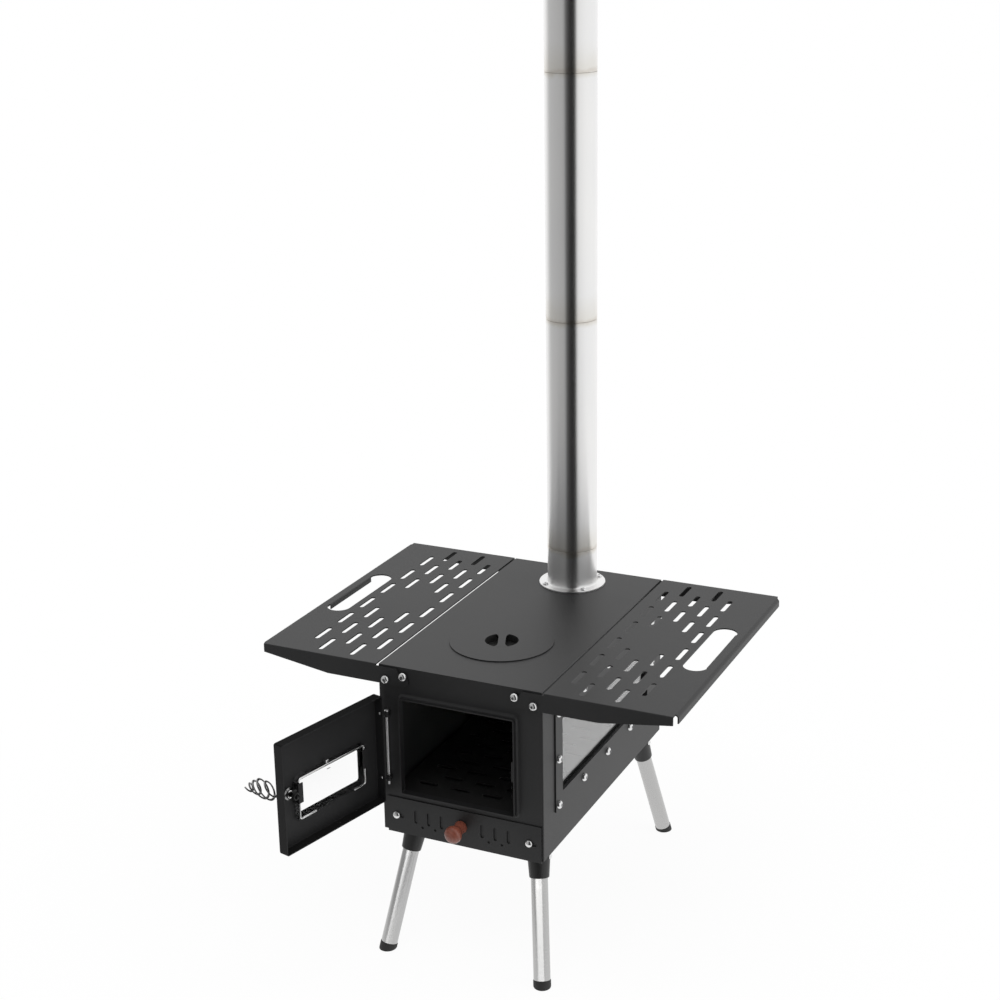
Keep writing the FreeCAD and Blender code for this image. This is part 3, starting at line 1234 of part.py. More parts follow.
# Legs: four splayed tubes with rubber feet, each pushed into a cast socket.
socket_screws = []
leg_top_x = half_width - S.leg_inset
leg_foot_x = leg_top_x + S.leg_splay_out
front_leg_y = back - S.front_leg_inset
back_leg_y = back - S.back_leg_inset
for name, side, y_way, top_y in (("front_left", -1, -1, front_leg_y), ("front_right", 1, -1, front_leg_y),
                                 ("back_left", -1, 1, back_leg_y), ("back_right", 1, 1, back_leg_y)):
    foot_y = top_y + S.leg_splay_along
    spread = S.leg_splay_out * S.leg_splay_out + S.leg_splay_along * S.leg_splay_along
    run = (spread + S.body_bottom * S.body_bottom).root()
    top = V(side * leg_top_x.value, y_way * top_y.value, S.body_bottom.value)
    foot = V(side * leg_foot_x.value, y_way * foot_y.value, 0)
    way = (foot - top).normalize()
    lean = (spread).root() / run
    fall = S.body_bottom / run

    # The socket is cut level where it meets the bottom plate.
    taper = (S.socket_top - S.socket_end) / S.socket_length
    rise = (S.socket_top * 2).value
    wide = S.socket_top.value + taper.value * rise
    cone = Part.makeCone(wide, S.socket_end.value, rise + S.socket_length.value, top - way * rise, way)
    round_ends = [edge for edge in cone.Edges if hasattr(edge.Curve, "Radius")]
    mouth = [edge for edge in round_ends if near(edge.Curve.Radius, S.socket_end)]
    cone = cone.makeFillet(S.socket_lip.value, mouth)
    inward = -Y_WAY * y_way
    gusset_end = top + way * S.gusset_drop.value
    gusset_tip = top + inward * S.gusset_reach.value
    rim = Part.makePolygon([gusset_tip, top, gusset_end, gusset_tip])
    square = (gusset_end - top).cross(inward).normalize()
    rib = Part.Face(rim).extrude(square * S.gusset_wall.value)
    rib.translate(square * -(S.gusset_wall / 2).value)
    block = cone.fuse(rib)
    reach = 4 * rise
    above = Part.makeBox(reach, reach, reach, top - X_WAY * (reach / 2) - Y_WAY * (reach / 2))
    bore_radius = (S.leg_radius + S.leg_clearance).value
    bore = Part.makeCylinder(bore_radius, 2 * rise + S.socket_length.value, top - way * rise, way)
    drop = S.socket_screw_drop.value
    aim = (X_WAY * side - way * (X_WAY * side).dot(way)).normalize()
    axis_spot = top + way * drop
    seat_reach = S.socket_top - taper * S.socket_screw_drop + S.leg_clearance
    thread = Part.makeCylinder((S.socket_screw_radius + S.thread_play).value, S.socket_top.value, axis_spot, aim)
    feature(f"leg_socket_{name}", block.cut([above, bore, thread]).removeSplitter())
    length = seat_reach - S.leg_radius - S.leg_clearance
    shape = screw(S.socket_screw_head, S.socket_screw_rise, S.socket_screw_radius, length)
    socket_screws.append(placed(shape, axis_spot + aim * seat_reach.value, aim))

    # The tube runs from just under the bottom plate to the foot.
    start = (S.leg_seat + S.leg_radius * lean) / fall
    end = (S.body_bottom - S.foot_height) / fall
    outer = doc.addObject("Part::Cylinder", f"leg_outside_{name}")
    bind(outer, "Radius", S.leg_radius)
    bind(outer, "Height", end - start)
    inner = doc.addObject("Part::Cylinder", f"leg_inside_{name}")
    bind(inner, "Radius", S.leg_radius - S.leg_wall)
    bind(inner, "Height", end - start)
    tube = doc.addObject("Part::Cut", f"leg_{name}")
    tube.Base = outer
    tube.Tool = inner
    tube.Placement = FreeCAD.Placement(top + way * start.value, FreeCAD.Rotation(Z_WAY, way))
    keep(tube, f"leg_{name}")

    # The foot is trimmed level with the floor and plugs into the tube.
    tube_end = top + way * end.value
    tread = Part.makeCylinder((S.leg_radius + S.foot_over).value, 2 * rise, tube_end, way)
    plug_radius = (S.leg_radius - S.leg_wall - S.plug_clearance).value
    plug = Part.makeCylinder(plug_radius, S.plug_length.value, tube_end - way * S.plug_length.value, way)
    below = Part.makeBox(reach, reach, reach, V(foot.x - reach / 2, foot.y - reach / 2, -reach))
    feature(f"foot_{name}", tread.fuse(plug).cut(below).removeSplitter())
feature("socket_screws", Part.Compound(socket_screws))

doc.recompute()
problems = []
for thing in doc.Objects:
    if "Invalid" in thing.State or "Error" in thing.State:
        problems.append(f"{thing.Name}: {thing.State}")
for thing in nodes:
    if thing.Shape.isNull() or not thing.Shape.isValid() or not thing.Shape.Solids:
        problems.append(f"{thing.Label}: shape")
if problems:
    raise ValueError("; ".join(problems))

os.makedirs("parts", exist_ok=True)
for thing in nodes:
    thing.Shape.exportStep(f"parts/{thing.Label}.step")
print(len(nodes), "parts written")
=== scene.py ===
import json
import math

import bmesh
import bpy
from mathutils import Matrix, Vector

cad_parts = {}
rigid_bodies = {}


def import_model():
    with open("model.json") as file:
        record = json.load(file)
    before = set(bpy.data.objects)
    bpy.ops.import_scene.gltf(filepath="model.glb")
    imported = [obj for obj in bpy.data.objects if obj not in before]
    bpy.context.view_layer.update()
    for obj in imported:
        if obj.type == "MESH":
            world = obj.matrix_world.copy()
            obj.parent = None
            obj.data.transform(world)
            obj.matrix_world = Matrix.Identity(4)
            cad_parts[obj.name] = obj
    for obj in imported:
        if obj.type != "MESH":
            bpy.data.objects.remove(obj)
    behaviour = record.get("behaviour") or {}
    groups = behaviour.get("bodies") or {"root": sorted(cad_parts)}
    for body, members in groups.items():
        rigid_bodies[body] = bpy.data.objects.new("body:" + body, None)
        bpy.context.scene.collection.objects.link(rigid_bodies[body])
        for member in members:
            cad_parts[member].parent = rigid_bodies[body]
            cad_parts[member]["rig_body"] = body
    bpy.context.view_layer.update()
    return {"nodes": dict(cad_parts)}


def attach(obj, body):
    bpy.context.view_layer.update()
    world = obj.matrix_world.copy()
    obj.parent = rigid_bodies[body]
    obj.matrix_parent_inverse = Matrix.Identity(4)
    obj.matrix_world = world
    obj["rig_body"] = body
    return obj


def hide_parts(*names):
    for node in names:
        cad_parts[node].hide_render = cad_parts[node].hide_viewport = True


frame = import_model()
scene = bpy.context.scene
scene.view_settings.view_transform = "Standard"

# Sizes and places of the studio, in metres

LENS_AZIMUTH = math.radians(25.49)
LENS_HEIGHT = math.radians(18.39)
LENS_ROLL = math.radians(-0.94)
LENS_PLACE = (0.80346, -1.75471, 1.14247)
FLOOR_HALF = 60
FLOOR_LEVEL = -0.0002
# Greys all round, by share of a turn: 0 behind the stove, 0.25 left, 0.5 at the lens, 0.75 right
ROOM_TONES = ((0.0, 1.0), (0.10, 0.95), (0.19, 0.50), (0.40, 0.42), (0.435, 0.10), (0.48, 0.02),
              (0.545, 0.015), (0.575, 0.80), (0.70, 1.0), (1.0, 1.0))

# Sizes and places of the stove, in millimetres; those of the door are for the shut door

MM = 0.001
FRONT, RIGHT, UP = (0, -1, 0), (1, 0, 0), (0, 0, 1)
CORNERS = {"front_left": (-1, -1), "front_right": (1, -1), "back_left": (-1, 1), "back_right": (1, 1)}
TOP = 354.5  # upper face of the top plate and of the shelves
FIREBOX_HALF_WIDTH, FIREBOX_HALF_DEPTH = 97.2, 179.2
FIREBOX_FLOOR, FIREBOX_ROOF = 153.5, 352.7

DOOR_TURN = Matrix.Rotation(math.radians(-103.3), 3, "Z")
HINGE_PIN = Vector((-88, -184.1, 0))
LATCH_PLACE = (59, -194.6, 258.25)
SHAFT_RADIUS, SHAFT_LIMIT, HUB_LIMIT = 2.5, 3.0, 4.2
RING_SEAT = 3.05
COIL_LEAN = math.radians(23)
SIDE_CLIP_TOP = 268

FLUE = (0, 132.5, 0)
PIPE_RIMS = (402.5, 683.5, 964.5)  # the rims that the sections stand on, lowest first
SECTION_LENGTH, SPIGOT_LENGTH, COLLAR_DEPTH = 281, 32, 10
SHOULDER_GAP = 0.2
PIPE_RADIUS, PIPE_BORE = 30.0, 29.2
SPIGOT_RADIUS, SPIGOT_BORE = 28.9, 28.1

LEG_TOP = 153  # underside of the bottom plate
LEG_FALL = 146  # from there down into the foot
LEG_GAP = 0.3  # between the plate and the tube
LEG_RADIUS, LEG_BORE, LEG_EASE = 9.5, 8.3, 0.25
LEG_HEAD_X, LEG_HEAD_FRONT, LEG_HEAD_BACK = 74.9, -141.8, 160.4
LEG_RUN_X, LEG_RUN_Y = 22.6, 43.6

LID = Vector((0, -70.6, 355.7))
LID_TURN = Matrix.Rotation(math.radians(22), 3, "Z")
CUP_RADIUS, CUP_LIP = 20, 1.3
KNOB_SEAT = (-0.8, -181.8, 175.3)

BUTTON_RISE, DOME_RISE, FLANGE_RISE = 3.6, 3.0, 2.0
HEAD_EASE = 0.25
KEY_TWIST = 0.9

# Angles for shading and easing

SHEET_ANGLE, WIRE_ANGLE, TURNED_ANGLE, KNOB_ANGLE = 35, 50, 30, 45
FLAT_ANGLE = math.radians(0.4)
SHARP_ANGLE = math.radians(40)


# Node trees

def grey(level):
    return (level, level, level, 1)


class Signal:
    """A socket in a node tree; arithmetic on it adds Math nodes."""

    def __init__(self, board, socket):
        self.board = board
        self.socket = socket

    def math(self, operation, *terms):
        return self.board.node("ShaderNodeMath", {"operation": operation}, *terms)

    def __add__(self, other):
        return self.math("ADD", self, other)

    def __sub__(self, other):
        return self.math("SUBTRACT", self, other)

    def __rsub__(self, other):
        return self.math("SUBTRACT", other, self)

    def __mul__(self, other):
        return self.math("MULTIPLY", self, other)

    def __truediv__(self, other):
        return self.math("DIVIDE", self, other)

    __radd__ = __add__
    __rmul__ = __mul__

    def larger(self, other):
        return self.math("MAXIMUM", self, other)

    def step(self, low, high):
        """0 below low, 1 above high, smooth between them."""
        settings = {"interpolation_type": "SMOOTHSTEP", "clamp": True}
        return self.board.node("ShaderNodeMapRange", settings, Value=self, From_Min=low, From_Max=high)


class Board:
    """A node tree that is filled one node at a time."""

    def __init__(self, tree):
        self.tree = tree
        tree.nodes.clear()

    def node(self, kind, settings=None, *values, out=0, **named):
        """Adds a node, sets and feeds it, and gives one of its outputs."""
        made = self.tree.nodes.new(kind)
        for key, value in (settings or {}).items():
            setattr(made, key, value)
        wanted = list(enumerate(values))
        wanted += [(key.replace("_", " "), value) for key, value in named.items()]
        for key, value in wanted:
            self.feed(made.inputs[key], value)
        return Signal(self, made.outputs[out]) if made.outputs else made

    def feed(self, socket, value):
        if isinstance(value, Signal):
            self.tree.links.new(value.socket, socket)
        elif value is not None:
            socket.default_value = value

    def mix(self, share, first, second):
        """A colour between two colours; the node's sockets for other kinds of value stay unused."""
        settings = {"data_type": "RGBA", "blend_type": "MIX"}
        unused = [None] * 5
        return self.node("ShaderNodeMix", settings, share, *unused, first, second, out=2)

    def ramp(self, place, tones):
        """Greys between tones, each a place from 0 to 1 and a level."""
        shown = self.node("ShaderNodeValToRGB", None, place)
        stops = shown.socket.node.color_ramp.elements
        while len(stops) > 1:
            stops.remove(stops[0])
        for count, (position, level) in enumerate(tones):
            stop = stops.new(position) if count else stops[0]
            stop.position = position
            stop.color = grey(level)
        return shown

    def along(self, way, direction):
        """How far a way goes in a direction."""
        settings = {"operation": "DOT_PRODUCT"}
        return self.node("ShaderNodeVectorMath", settings, way, direction, out="Value")

    def ray(self, kind):
        """1 for rays of one kind, 0 for others."""
        return self.node("ShaderNodeLightPath", None, out=f"Is {kind} Ray")

    def seen(self):
        """1 for what the lens sees, straight or through glass."""
        return self.ray("Camera").larger(self.ray("Transmission"))


# Studio: camera, pale floor, soft light

def add_camera():
    """The photograph's viewpoint: a long lens, a little above the stove and to its right."""
    level = math.cos(LENS_HEIGHT)
    back = Vector((math.sin(LENS_AZIMUTH) * level, -math.cos(LENS_AZIMUTH) * level, math.sin(LENS_HEIGHT)))
    right = (-back).cross(Vector(UP)).normalized()
    up = right.cross(-back)
    rolled_right = math.cos(LENS_ROLL) * right + math.sin(LENS_ROLL) * up
    rolled_up = -math.sin(LENS_ROLL) * right + math.cos(LENS_ROLL) * up
    lens = bpy.data.cameras.new("photo_lens")
    lens.sensor_width = 36
    lens.sensor_fit = "HORIZONTAL"
    lens.lens = 64.485
    lens.clip_end = 200
    camera = bpy.data.objects.new("photo_camera", lens)
    turn = Matrix((rolled_right, rolled_up, back)).transposed().to_4x4()
    camera.matrix_world = Matrix.Translation(LENS_PLACE) @ turn
    scene.collection.objects.link(camera)
    scene.camera = camera


def room_tone(board, way):
    """Grey of the studio by compass: white behind and right, grey to the left, dark round the lens."""
    sine, cosine = math.sin(LENS_AZIMUTH), math.cos(LENS_AZIMUTH)
    to_lens = board.along(way, (sine, -cosine, 0))
    to_right = board.along(way, (cosine, sine, 0))
    turn = to_lens.math("ARCTAN2", to_right, to_lens) / (2 * math.pi) + 0.5
    return board.ramp(turn, ROOM_TONES)


def add_world():
    """The room's tones all round under a pale ceiling, and plain white wherever the lens sees it."""
    world = bpy.data.worlds.new("studio")
    world.use_nodes = True
    scene.world = world
    board = Board(world.node_tree)
    way = board.node("ShaderNodeTexCoord", None, out="Generated")
    room = room_tone(board, way)
    height = board.node("ShaderNodeSeparateXYZ", None, way, out="Z")
    glossy = board.ray("Glossy")
    open_room = board.node("ShaderNodeRGBToBW", None, room).step(0.4, 1.0)
    overhead = height.step(0.35, 0.75) * (1 - glossy * (1 - open_room))
    studio = board.mix(overhead, room, grey(0.85))
    white = board.seen().larger(glossy * open_room)
    shown = board.node("ShaderNodeBackground", None, board.mix(white, studio, grey(1.0)), 1.0)
    board.node("ShaderNodeOutputWorld", None, shown)


def add_floor():
    """Pale paper: white to the lens but for a trace of shadow; polish mirrors the room further out."""
    made = bmesh.new()
    bmesh.ops.create_grid(made, x_segments=1, y_segments=1, size=FLOOR_HALF)
    mesh = bpy.data.meshes.new("floor")
    made.to_mesh(mesh)
    made.free()
    floor = bpy.data.objects.new("floor", mesh)
    floor.location.z = FLOOR_LEVEL
    scene.collection.objects.link(floor)
    paper = bpy.data.materials.new("floor_paper")
    paper.use_nodes = True
    board = Board(paper.node_tree)
    plain = board.node("ShaderNodeBsdfDiffuse", None, grey(0.86))
    spot = board.node("ShaderNodeTexCoord", None, out="Object")
    reach = board.node("ShaderNodeVectorMath", {"operation": "LENGTH"}, spot, out="Value")
    mirrored = board.ray("Glossy")
    share = board.seen().larger(mirrored) * (0.94 + reach.step(0.3, 0.9) * 0.06)
    tone = board.mix(mirrored * reach.step(0.35, 0.60), grey(1.0), room_tone(board, spot))
    glow = board.node("ShaderNodeEmission", None, tone, 1.0)
    shown = board.node("ShaderNodeMixShader", None, share, plain, glow)
    board.node("ShaderNodeOutputMaterial", None, shown)
    mesh.materials.append(paper)


def add_lamp(name, place, aim, width, height, power, lit=None):
    """A soft lamp; one with a collection of its own lights only that, and shows in its polish."""
    lamp = bpy.data.lights.new(name, "AREA")
    lamp.shape = "RECTANGLE"
    lamp.size = width
    lamp.size_y = height
    lamp.energy = power
    stand = bpy.data.objects.new(name, lamp)
    stand.location = place
    stand.rotation_euler = (Vector(aim) - Vector(place)).to_track_quat("-Z", "Y").to_euler()
    stand.visible_glossy = lit is not None
    stand.light_linking.receiver_collection = lit
    scene.collection.objects.link(stand)


# Finishes

class Finish(Board):
    """One material: a Principled shader fed from patterns on Object coordinates."""

    def __init__(self, name):
        self.material = bpy.data.materials.new(name)
        self.material.use_nodes = True
        super().__init__(self.material.node_tree)
        self.spot = self.node("ShaderNodeTexCoord", None, out="Object")

    def noise(self, scale, detail, stretch=None):
        spot = self.spot
        if stretch is not None:
            spot = self.node("ShaderNodeMapping", None, Vector=spot, Scale=stretch)
        return self.node("ShaderNodeTexNoise", None, out="Fac", Vector=spot, Scale=scale, Detail=detail)

    def bump(self, height, strength, depth):
        return self.node("ShaderNodeBump", None, Strength=strength, Distance=depth, Height=height)

    def shade(self, **named):
        body = self.node("ShaderNodeBsdfPrincipled", None, **named)
        self.node("ShaderNodeOutputMaterial", None, body)
        return self.material


def powder_coat(name, dark, pale, rough, sheen=0.45):
    """Satin powder coat: fine orange peel, faint mottling in tone and gloss."""
    coat = Finish(name)
    peel = coat.noise(scale=1100, detail=3)
    cloud = coat.noise(scale=9, detail=4)
    speck = coat.noise(scale=2600, detail=1).step(0.70, 0.80)
    tone = coat.mix(cloud.step(0.3, 0.7), (*dark, 1), (*pale, 1))
    tone = coat.mix(speck * 0.25, tone, grey(pale[0] * 2.2))
    gloss = cloud * 0.10 + (rough - 0.05) + peel * 0.05
    normal = coat.bump(peel, strength=0.22, depth=0.0004)
    return coat.shade(Base_Color=tone, Roughness=gloss, Normal=normal, Specular_IOR_Level=sheen)


def heat_marks(coat, joints, tone):
    """Straw and brown tints just above each pipe joint."""
    straw, brown = (0.62, 0.57, 0.45, 1), (0.40, 0.30, 0.20, 1)
    height = coat.node("ShaderNodeSeparateXYZ", None, coat.spot, out="Z")
    ripple = coat.noise(scale=40, detail=3) * 0.016
    for joint in joints:
        rise = height - (joint + SHOULDER_GAP) * MM + ripple
        band = rise.step(0.0, 0.006) * (1 - rise.step(0.010, 0.045))
        line = rise.step(0.004, 0.009) * (1 - rise.step(0.009, 0.014))
        tone = coat.mix(band * 0.30, tone, straw)
        tone = coat.mix(line * 0.22, tone, brown)
    return tone


def stainless(name, level, rough, drawn, joints=()):
    """Rolled stainless sheet, with fine grain along its length."""
    steel = Finish(name)
    grain = steel.noise(scale=1400, detail=3, stretch=(1, 1, 0.012))
    cloud = steel.noise(scale=16, detail=4, stretch=(1, 1, 0.3))
    warm = (level, level * 0.995, level * 0.985, 1)
    tone = steel.mix(cloud.step(0.3, 0.7), grey(level * 0.95), warm)
    tone = heat_marks(steel, joints, tone)
    gloss = grain * 0.07 + cloud * 0.05 + (rough - 0.06)
    normal = steel.bump(grain, strength=0.05, depth=0.0002)
    return steel.shade(Base_Color=tone, Metallic=1.0, Roughness=gloss, Anisotropic=drawn,
                       Anisotropic_Rotation=0.25, Normal=normal)


def bright_zinc(name, level, rough):
    """Bright plated fasteners and wire."""
    steel = Finish(name)
    grain = steel.noise(scale=2200, detail=2)
    tone = steel.mix(grain, grey(level * 0.9), grey(level))
    normal = steel.bump(grain, strength=0.06, depth=0.0001)
    return steel.shade(Base_Color=tone, Metallic=1.0, Roughness=grain * 0.10 + rough, Normal=normal)


def stove_glass(name, bend):
    """Clear glass-ceramic, with a very faint tint that varies across it."""
    glass = Finish(name)
    tint = glass.mix(glass.noise(scale=6, detail=1), grey(0.97), grey(1.0))
    return glass.shade(Base_Color=tint, Roughness=0.0, Transmission_Weight=1.0, IOR=bend)


def turned_wood(name):
    """Red-brown hardwood turned end-on: rings a little off the knob's axis, pores along it."""
    wood = Finish(name)
    centre = wood.node("ShaderNodeMapping", None, Vector=wood.spot, Location=(0.0028, 0, -0.1738),
                       Scale=(1, 0.12, 1))
    rings = wood.node("ShaderNodeTexWave", {"wave_type": "RINGS", "rings_direction": "Y"}, out="Fac",
                      Vector=centre, Scale=95, Distortion=2.4, Detail=3, Detail_Scale=1.6)
    pores = wood.noise(scale=1500, detail=3, stretch=(1, 0.05, 1))
    tone = wood.mix(rings, (0.165, 0.047, 0.029, 1), (0.200, 0.060, 0.038, 1))
    tone = wood.mix(pores.step(0.55, 0.75) * 0.25, tone, (0.110, 0.034, 0.022, 1))
    normal = wood.bump(pores, strength=0.15, depth=0.0003)
    return wood.shade(Base_Color=tone, Roughness=pores * 0.15 + 0.28, Normal=normal,
                      Coat_Weight=0.25, Coat_Roughness=0.2)


def foot_rubber(name):
    """Black rubber with a fine grit."""
    rubber = Finish(name)
    grit = rubber.noise(scale=900, detail=4)
    tone = rubber.mix(grit, grey(0.008), grey(0.020))
    normal = rubber.bump(grit, strength=0.3, depth=0.0004)
    return rubber.shade(Base_Color=tone, Roughness=grit * 0.15 + 0.55, Normal=normal)


def glass_seal(name):
    """Woven glass-fibre tape."""
    tape = Finish(name)
    weave = tape.node("ShaderNodeTexVoronoi", None, out="Distance", Vector=tape.spot, Scale=700)
    tone = tape.mix(weave, grey(0.008), grey(0.028))
    normal = tape.bump(weave, strength=0.5, depth=0.0006)
    return tape.shade(Base_Color=tone, Roughness=0.9, Normal=normal)


black = powder_coat("satin_black", (0.010, 0.010, 0.0105), (0.015, 0.015, 0.0155), rough=0.44)
black_door = powder_coat("door_black", (0.009, 0.009, 0.0095), (0.013, 0.013, 0.0135), rough=0.52, sheen=0.25)
# Painted shade: a darker, nearly glossless copy of the coat for the door's upward faces, so the top lip stays
# dark where the overhead light would show
painted_shade_lip = powder_coat("lip_painted_shade", (0.007, 0.007, 0.007), (0.010, 0.010, 0.010), rough=0.80, sheen=0.05)
black_inside = powder_coat("sooty_black", (0.010, 0.010, 0.010), (0.016, 0.016, 0.016), rough=0.60)
cast_black = powder_coat("cast_black", (0.011, 0.011, 0.0115), (0.017, 0.017, 0.017), rough=0.36)
pipe_steel = stainless("rolled_stainless", level=0.88, rough=0.30, drawn=0.9, joints=PIPE_RIMS)
leg_steel = stainless("tube_stainless", level=0.50, rough=0.26, drawn=0.5)
zinc = bright_zinc("bright_zinc", level=0.82, rough=0.16)
pin_steel = bright_zinc("pin_steel", level=0.95, rough=0.42)
wire_steel = bright_zinc("wire_steel", level=0.30, rough=0.14)
dark_steel = bright_zinc("dark_steel", level=0.02, rough=0.35)
clear = stove_glass("clear_glass", bend=1.08)
side_glass = stove_glass("side_glass", bend=1.95)
wood = turned_wood("turned_wood")
rubber = foot_rubber("black_rubber")
seal = glass_seal("woven_seal")


# Making pieces

def finished(made, name, finish, body, smooth_angle=SHEET_ANGLE, lining=None):
    """Turns a bmesh into a piece of the stove: named, finished and riding on its body."""
    mesh = bpy.data.meshes.new(name)
    made.to_mesh(mesh)
    made.free()
    for face in mesh.polygons:
        face.use_smooth = True
    mesh.set_sharp_from_angle(angle=math.radians(smooth_angle))
    mesh.materials.append(finish)
    if lining:
        mesh.materials.append(lining)
    piece = bpy.data.objects.new(name, mesh)
    scene.collection.objects.link(piece)
    flat = piece.modifiers.new("flat_faces", "WEIGHTED_NORMAL")
    flat.mode = "FACE_AREA"
    flat.weight = 100
    flat.keep_sharp = True
    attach(piece, body)
    return piece


def body_of(node):
    return frame["nodes"][node]["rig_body"]


def stand_in(made, node, kind, finish, smooth_angle, lining=None, lined=None):
    """A finished piece in the place of a CAD node; the lining goes on the faces that are lined."""
    if lining:
        for face in made.faces:
            face.material_index = int(lined(face))
    piece = finished(made, f"{node}_{kind}", finish, body_of(node), smooth_angle, lining)
    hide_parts(node)
    return piece


def copy_of(node, change=None, weld=1e-6):
    """A CAD piece as a bmesh with its triangles joined, changed where that is wanted."""
    made = bmesh.new()
    made.from_mesh(frame["nodes"][node].data)
    bmesh.ops.remove_doubles(made, verts=made.verts, dist=weld)
    if change:
        change(made)
    return made


def inside_firebox(face):
    spot = face.calc_center_median() / MM
    within = abs(spot.x) < FIREBOX_HALF_WIDTH and abs(spot.y) < FIREBOX_HALF_DEPTH
    return within and FIREBOX_FLOOR < spot.z < FIREBOX_ROOF


def faces_up(face):
    return face.normal.z > 0.5


def ease_edges(made, edges, width, segments=2):
    bmesh.ops.bevel(made, geom=edges, offset=width * MM, offset_type="OFFSET", segments=segments,
                    profile=0.5, affect="EDGES", material=-1, clamp_overlap=True)


def eased_copy(node, finish, width=0.3, lining=None, lined=inside_firebox, change=None):
    """A CAD piece with its sharp edges eased, as thick paint or tumbling leaves them."""
    made = copy_of(node, change)
    bmesh.ops.dissolve_limit(made, angle_limit=FLAT_ANGLE, verts=made.verts, edges=made.edges)
    shared = [edge for edge in made.edges if len(edge.link_faces) == 2]
    ease_edges(made, [edge for edge in shared if edge.calc_face_angle() > SHARP_ANGLE], width)
    stand_in(made, node, "eased", finish, SHEET_ANGLE, lining, lined)


def smooth_copy(node, finish, lining=None, lined=None, change=None):
    """A CAD piece of round wire or bar, shaded smooth."""
    stand_in(copy_of(node, change), node, "smooth", finish, WIRE_ANGLE, lining, lined)


def refinish(node, finish):
    """Another finish on a CAD piece that is shown as it is."""
    mesh = frame["nodes"][node].data
    mesh.materials.clear()
    mesh.materials.append(finish)


def spun(profile, steps=64, weld=1e-7):
    """A turned piece about Z from (radius, height) points; a closed profile makes a hollow one."""
    made = bmesh.new()
    spots = [made.verts.new((radius * MM, 0, height * MM)) for radius, height in profile]
    edges = [made.edges.new(pair) for pair in zip(spots, spots[1:])]
    bmesh.ops.spin(made, geom=spots + edges, cent=(0, 0, 0), axis=UP, angle=2 * math.pi, steps=steps,
                   use_merge=True)
    bmesh.ops.remove_doubles(made, verts=made.verts, dist=weld)
    bmesh.ops.recalc_face_normals(made, faces=made.faces)
    return made


def move(made, place, way=UP, twist=0.0):
    """Stands a piece made along +Z at a place, pointed a way."""
    turn = Vector(UP).rotation_difference(Vector(way)).to_matrix().to_4x4()
    whole = Matrix.Translation(Vector(place) * MM) @ turn @ Matrix.Rotation(twist, 4, "Z")
    bmesh.ops.transform(made, matrix=whole, verts=made.verts)
    return made


def turned_node(node, profile, finish, place, way=UP, steps=64, smooth_angle=TURNED_ANGLE):
    """A turned piece that stands for a CAD node."""
    return stand_in(move(spun(profile, steps), place, way), node, "turned", finish, smooth_angle)


def join(pieces):
    """Several bmeshes as one."""
    whole = bmesh.new()
    for part in pieces:
        mesh = bpy.data.meshes.new("part")
        part.to_mesh(mesh)
        part.free()
        whole.from_mesh(mesh)
        bpy.data.meshes.remove(mesh)
    return whole


def spots_in(items):
    return [item for item in items if isinstance(item, bmesh.types.BMVert)]


def edges_in(items):
    return [item for item in items if isinstance(item, bmesh.types.BMEdge)]


def grow_faces(made, run):
    """Draws a sheet of faces out into a solid, by a run in millimetres."""
    grown = bmesh.ops.extrude_face_region(made, geom=made.faces)["geom"]
    bmesh.ops.translate(made, vec=[length * MM for length in run], verts=spots_in(grown))
    bmesh.ops.recalc_face_normals(made, faces=made.faces)


# Bolts and rivets

def next_loop(made, loop, radius=None, height=None, shape=None):
    """Grows an open edge loop by one ring, at a new radius and height."""
    grown = bmesh.ops.extrude_edge_only(made, edges=loop)["geom"]
    for spot in spots_in(grown):
        turn = math.atan2(spot.co.y, spot.co.x)
        reach = shape(turn) if shape else radius
        spot.co = Vector((reach * MM * math.cos(turn), reach * MM * math.sin(turn), height * MM))
    return [edge for edge in edges_in(grown) if len(edge.link_faces) == 1]


def hexagon(flat):
    """Radius of a hexagon key socket by angle."""
    def reach(turn):
        return flat / 2 / math.cos((turn + math.pi / 6) % (math.pi / 3) - math.pi / 6)
    return reach


def button_bolt(length, head=5.0, rise=BUTTON_RISE, shank=2.5, key=3.4, deep=1.9):
    """A button-head bolt with a hexagon key socket, along +Z with its seat at z = 0."""
    made = bmesh.new()
    ring = bmesh.ops.create_circle(made, cap_ends=True, radius=shank * MM, segments=24)["verts"]
    bmesh.ops.translate(made, vec=(0, 0, -length * MM), verts=ring)
    loop = list(made.edges)
    rings = [(shank, 0.0), (head - HEAD_EASE, 0.0), (head, HEAD_EASE)]
    for share in (0.25, 0.5, 0.72, 0.9):
        swell = math.sin(share * math.pi / 2)
        radius = head * math.cos(share * math.radians(68))
        rings.append((radius, HEAD_EASE + (rise - HEAD_EASE) * swell))
    for radius, height in rings:
        loop = next_loop(made, loop, radius, height)
    loop = next_loop(made, loop, height=rise, shape=hexagon(key))
    loop = next_loop(made, loop, height=rise - deep, shape=hexagon(key))
    bmesh.ops.contextual_create(made, geom=loop)
    bmesh.ops.recalc_face_normals(made, faces=made.faces)
    return made


def flange_bolt(length):
    """A small button-head bolt for the flue's flange."""
    return button_bolt(length, head=3.6, rise=FLANGE_RISE, shank=2.0, key=2.2, deep=1.1)


def dome_bolt(length, head=4.5, rise=DOME_RISE, shank=2.0):
    """A plain dome head on a shank, along +Z with its seat at z = 0."""
    points = [(0, -length), (shank, -length), (shank, 0), (head - 0.2, 0), (head, HEAD_EASE)]
    for share in (0.2, 0.4, 0.6, 0.8):
        turn = share * math.pi / 2
        points.append((head * math.cos(turn), HEAD_EASE + (rise - HEAD_EASE) * math.sin(turn)))
    return spun(points + [(0, rise)], 24)


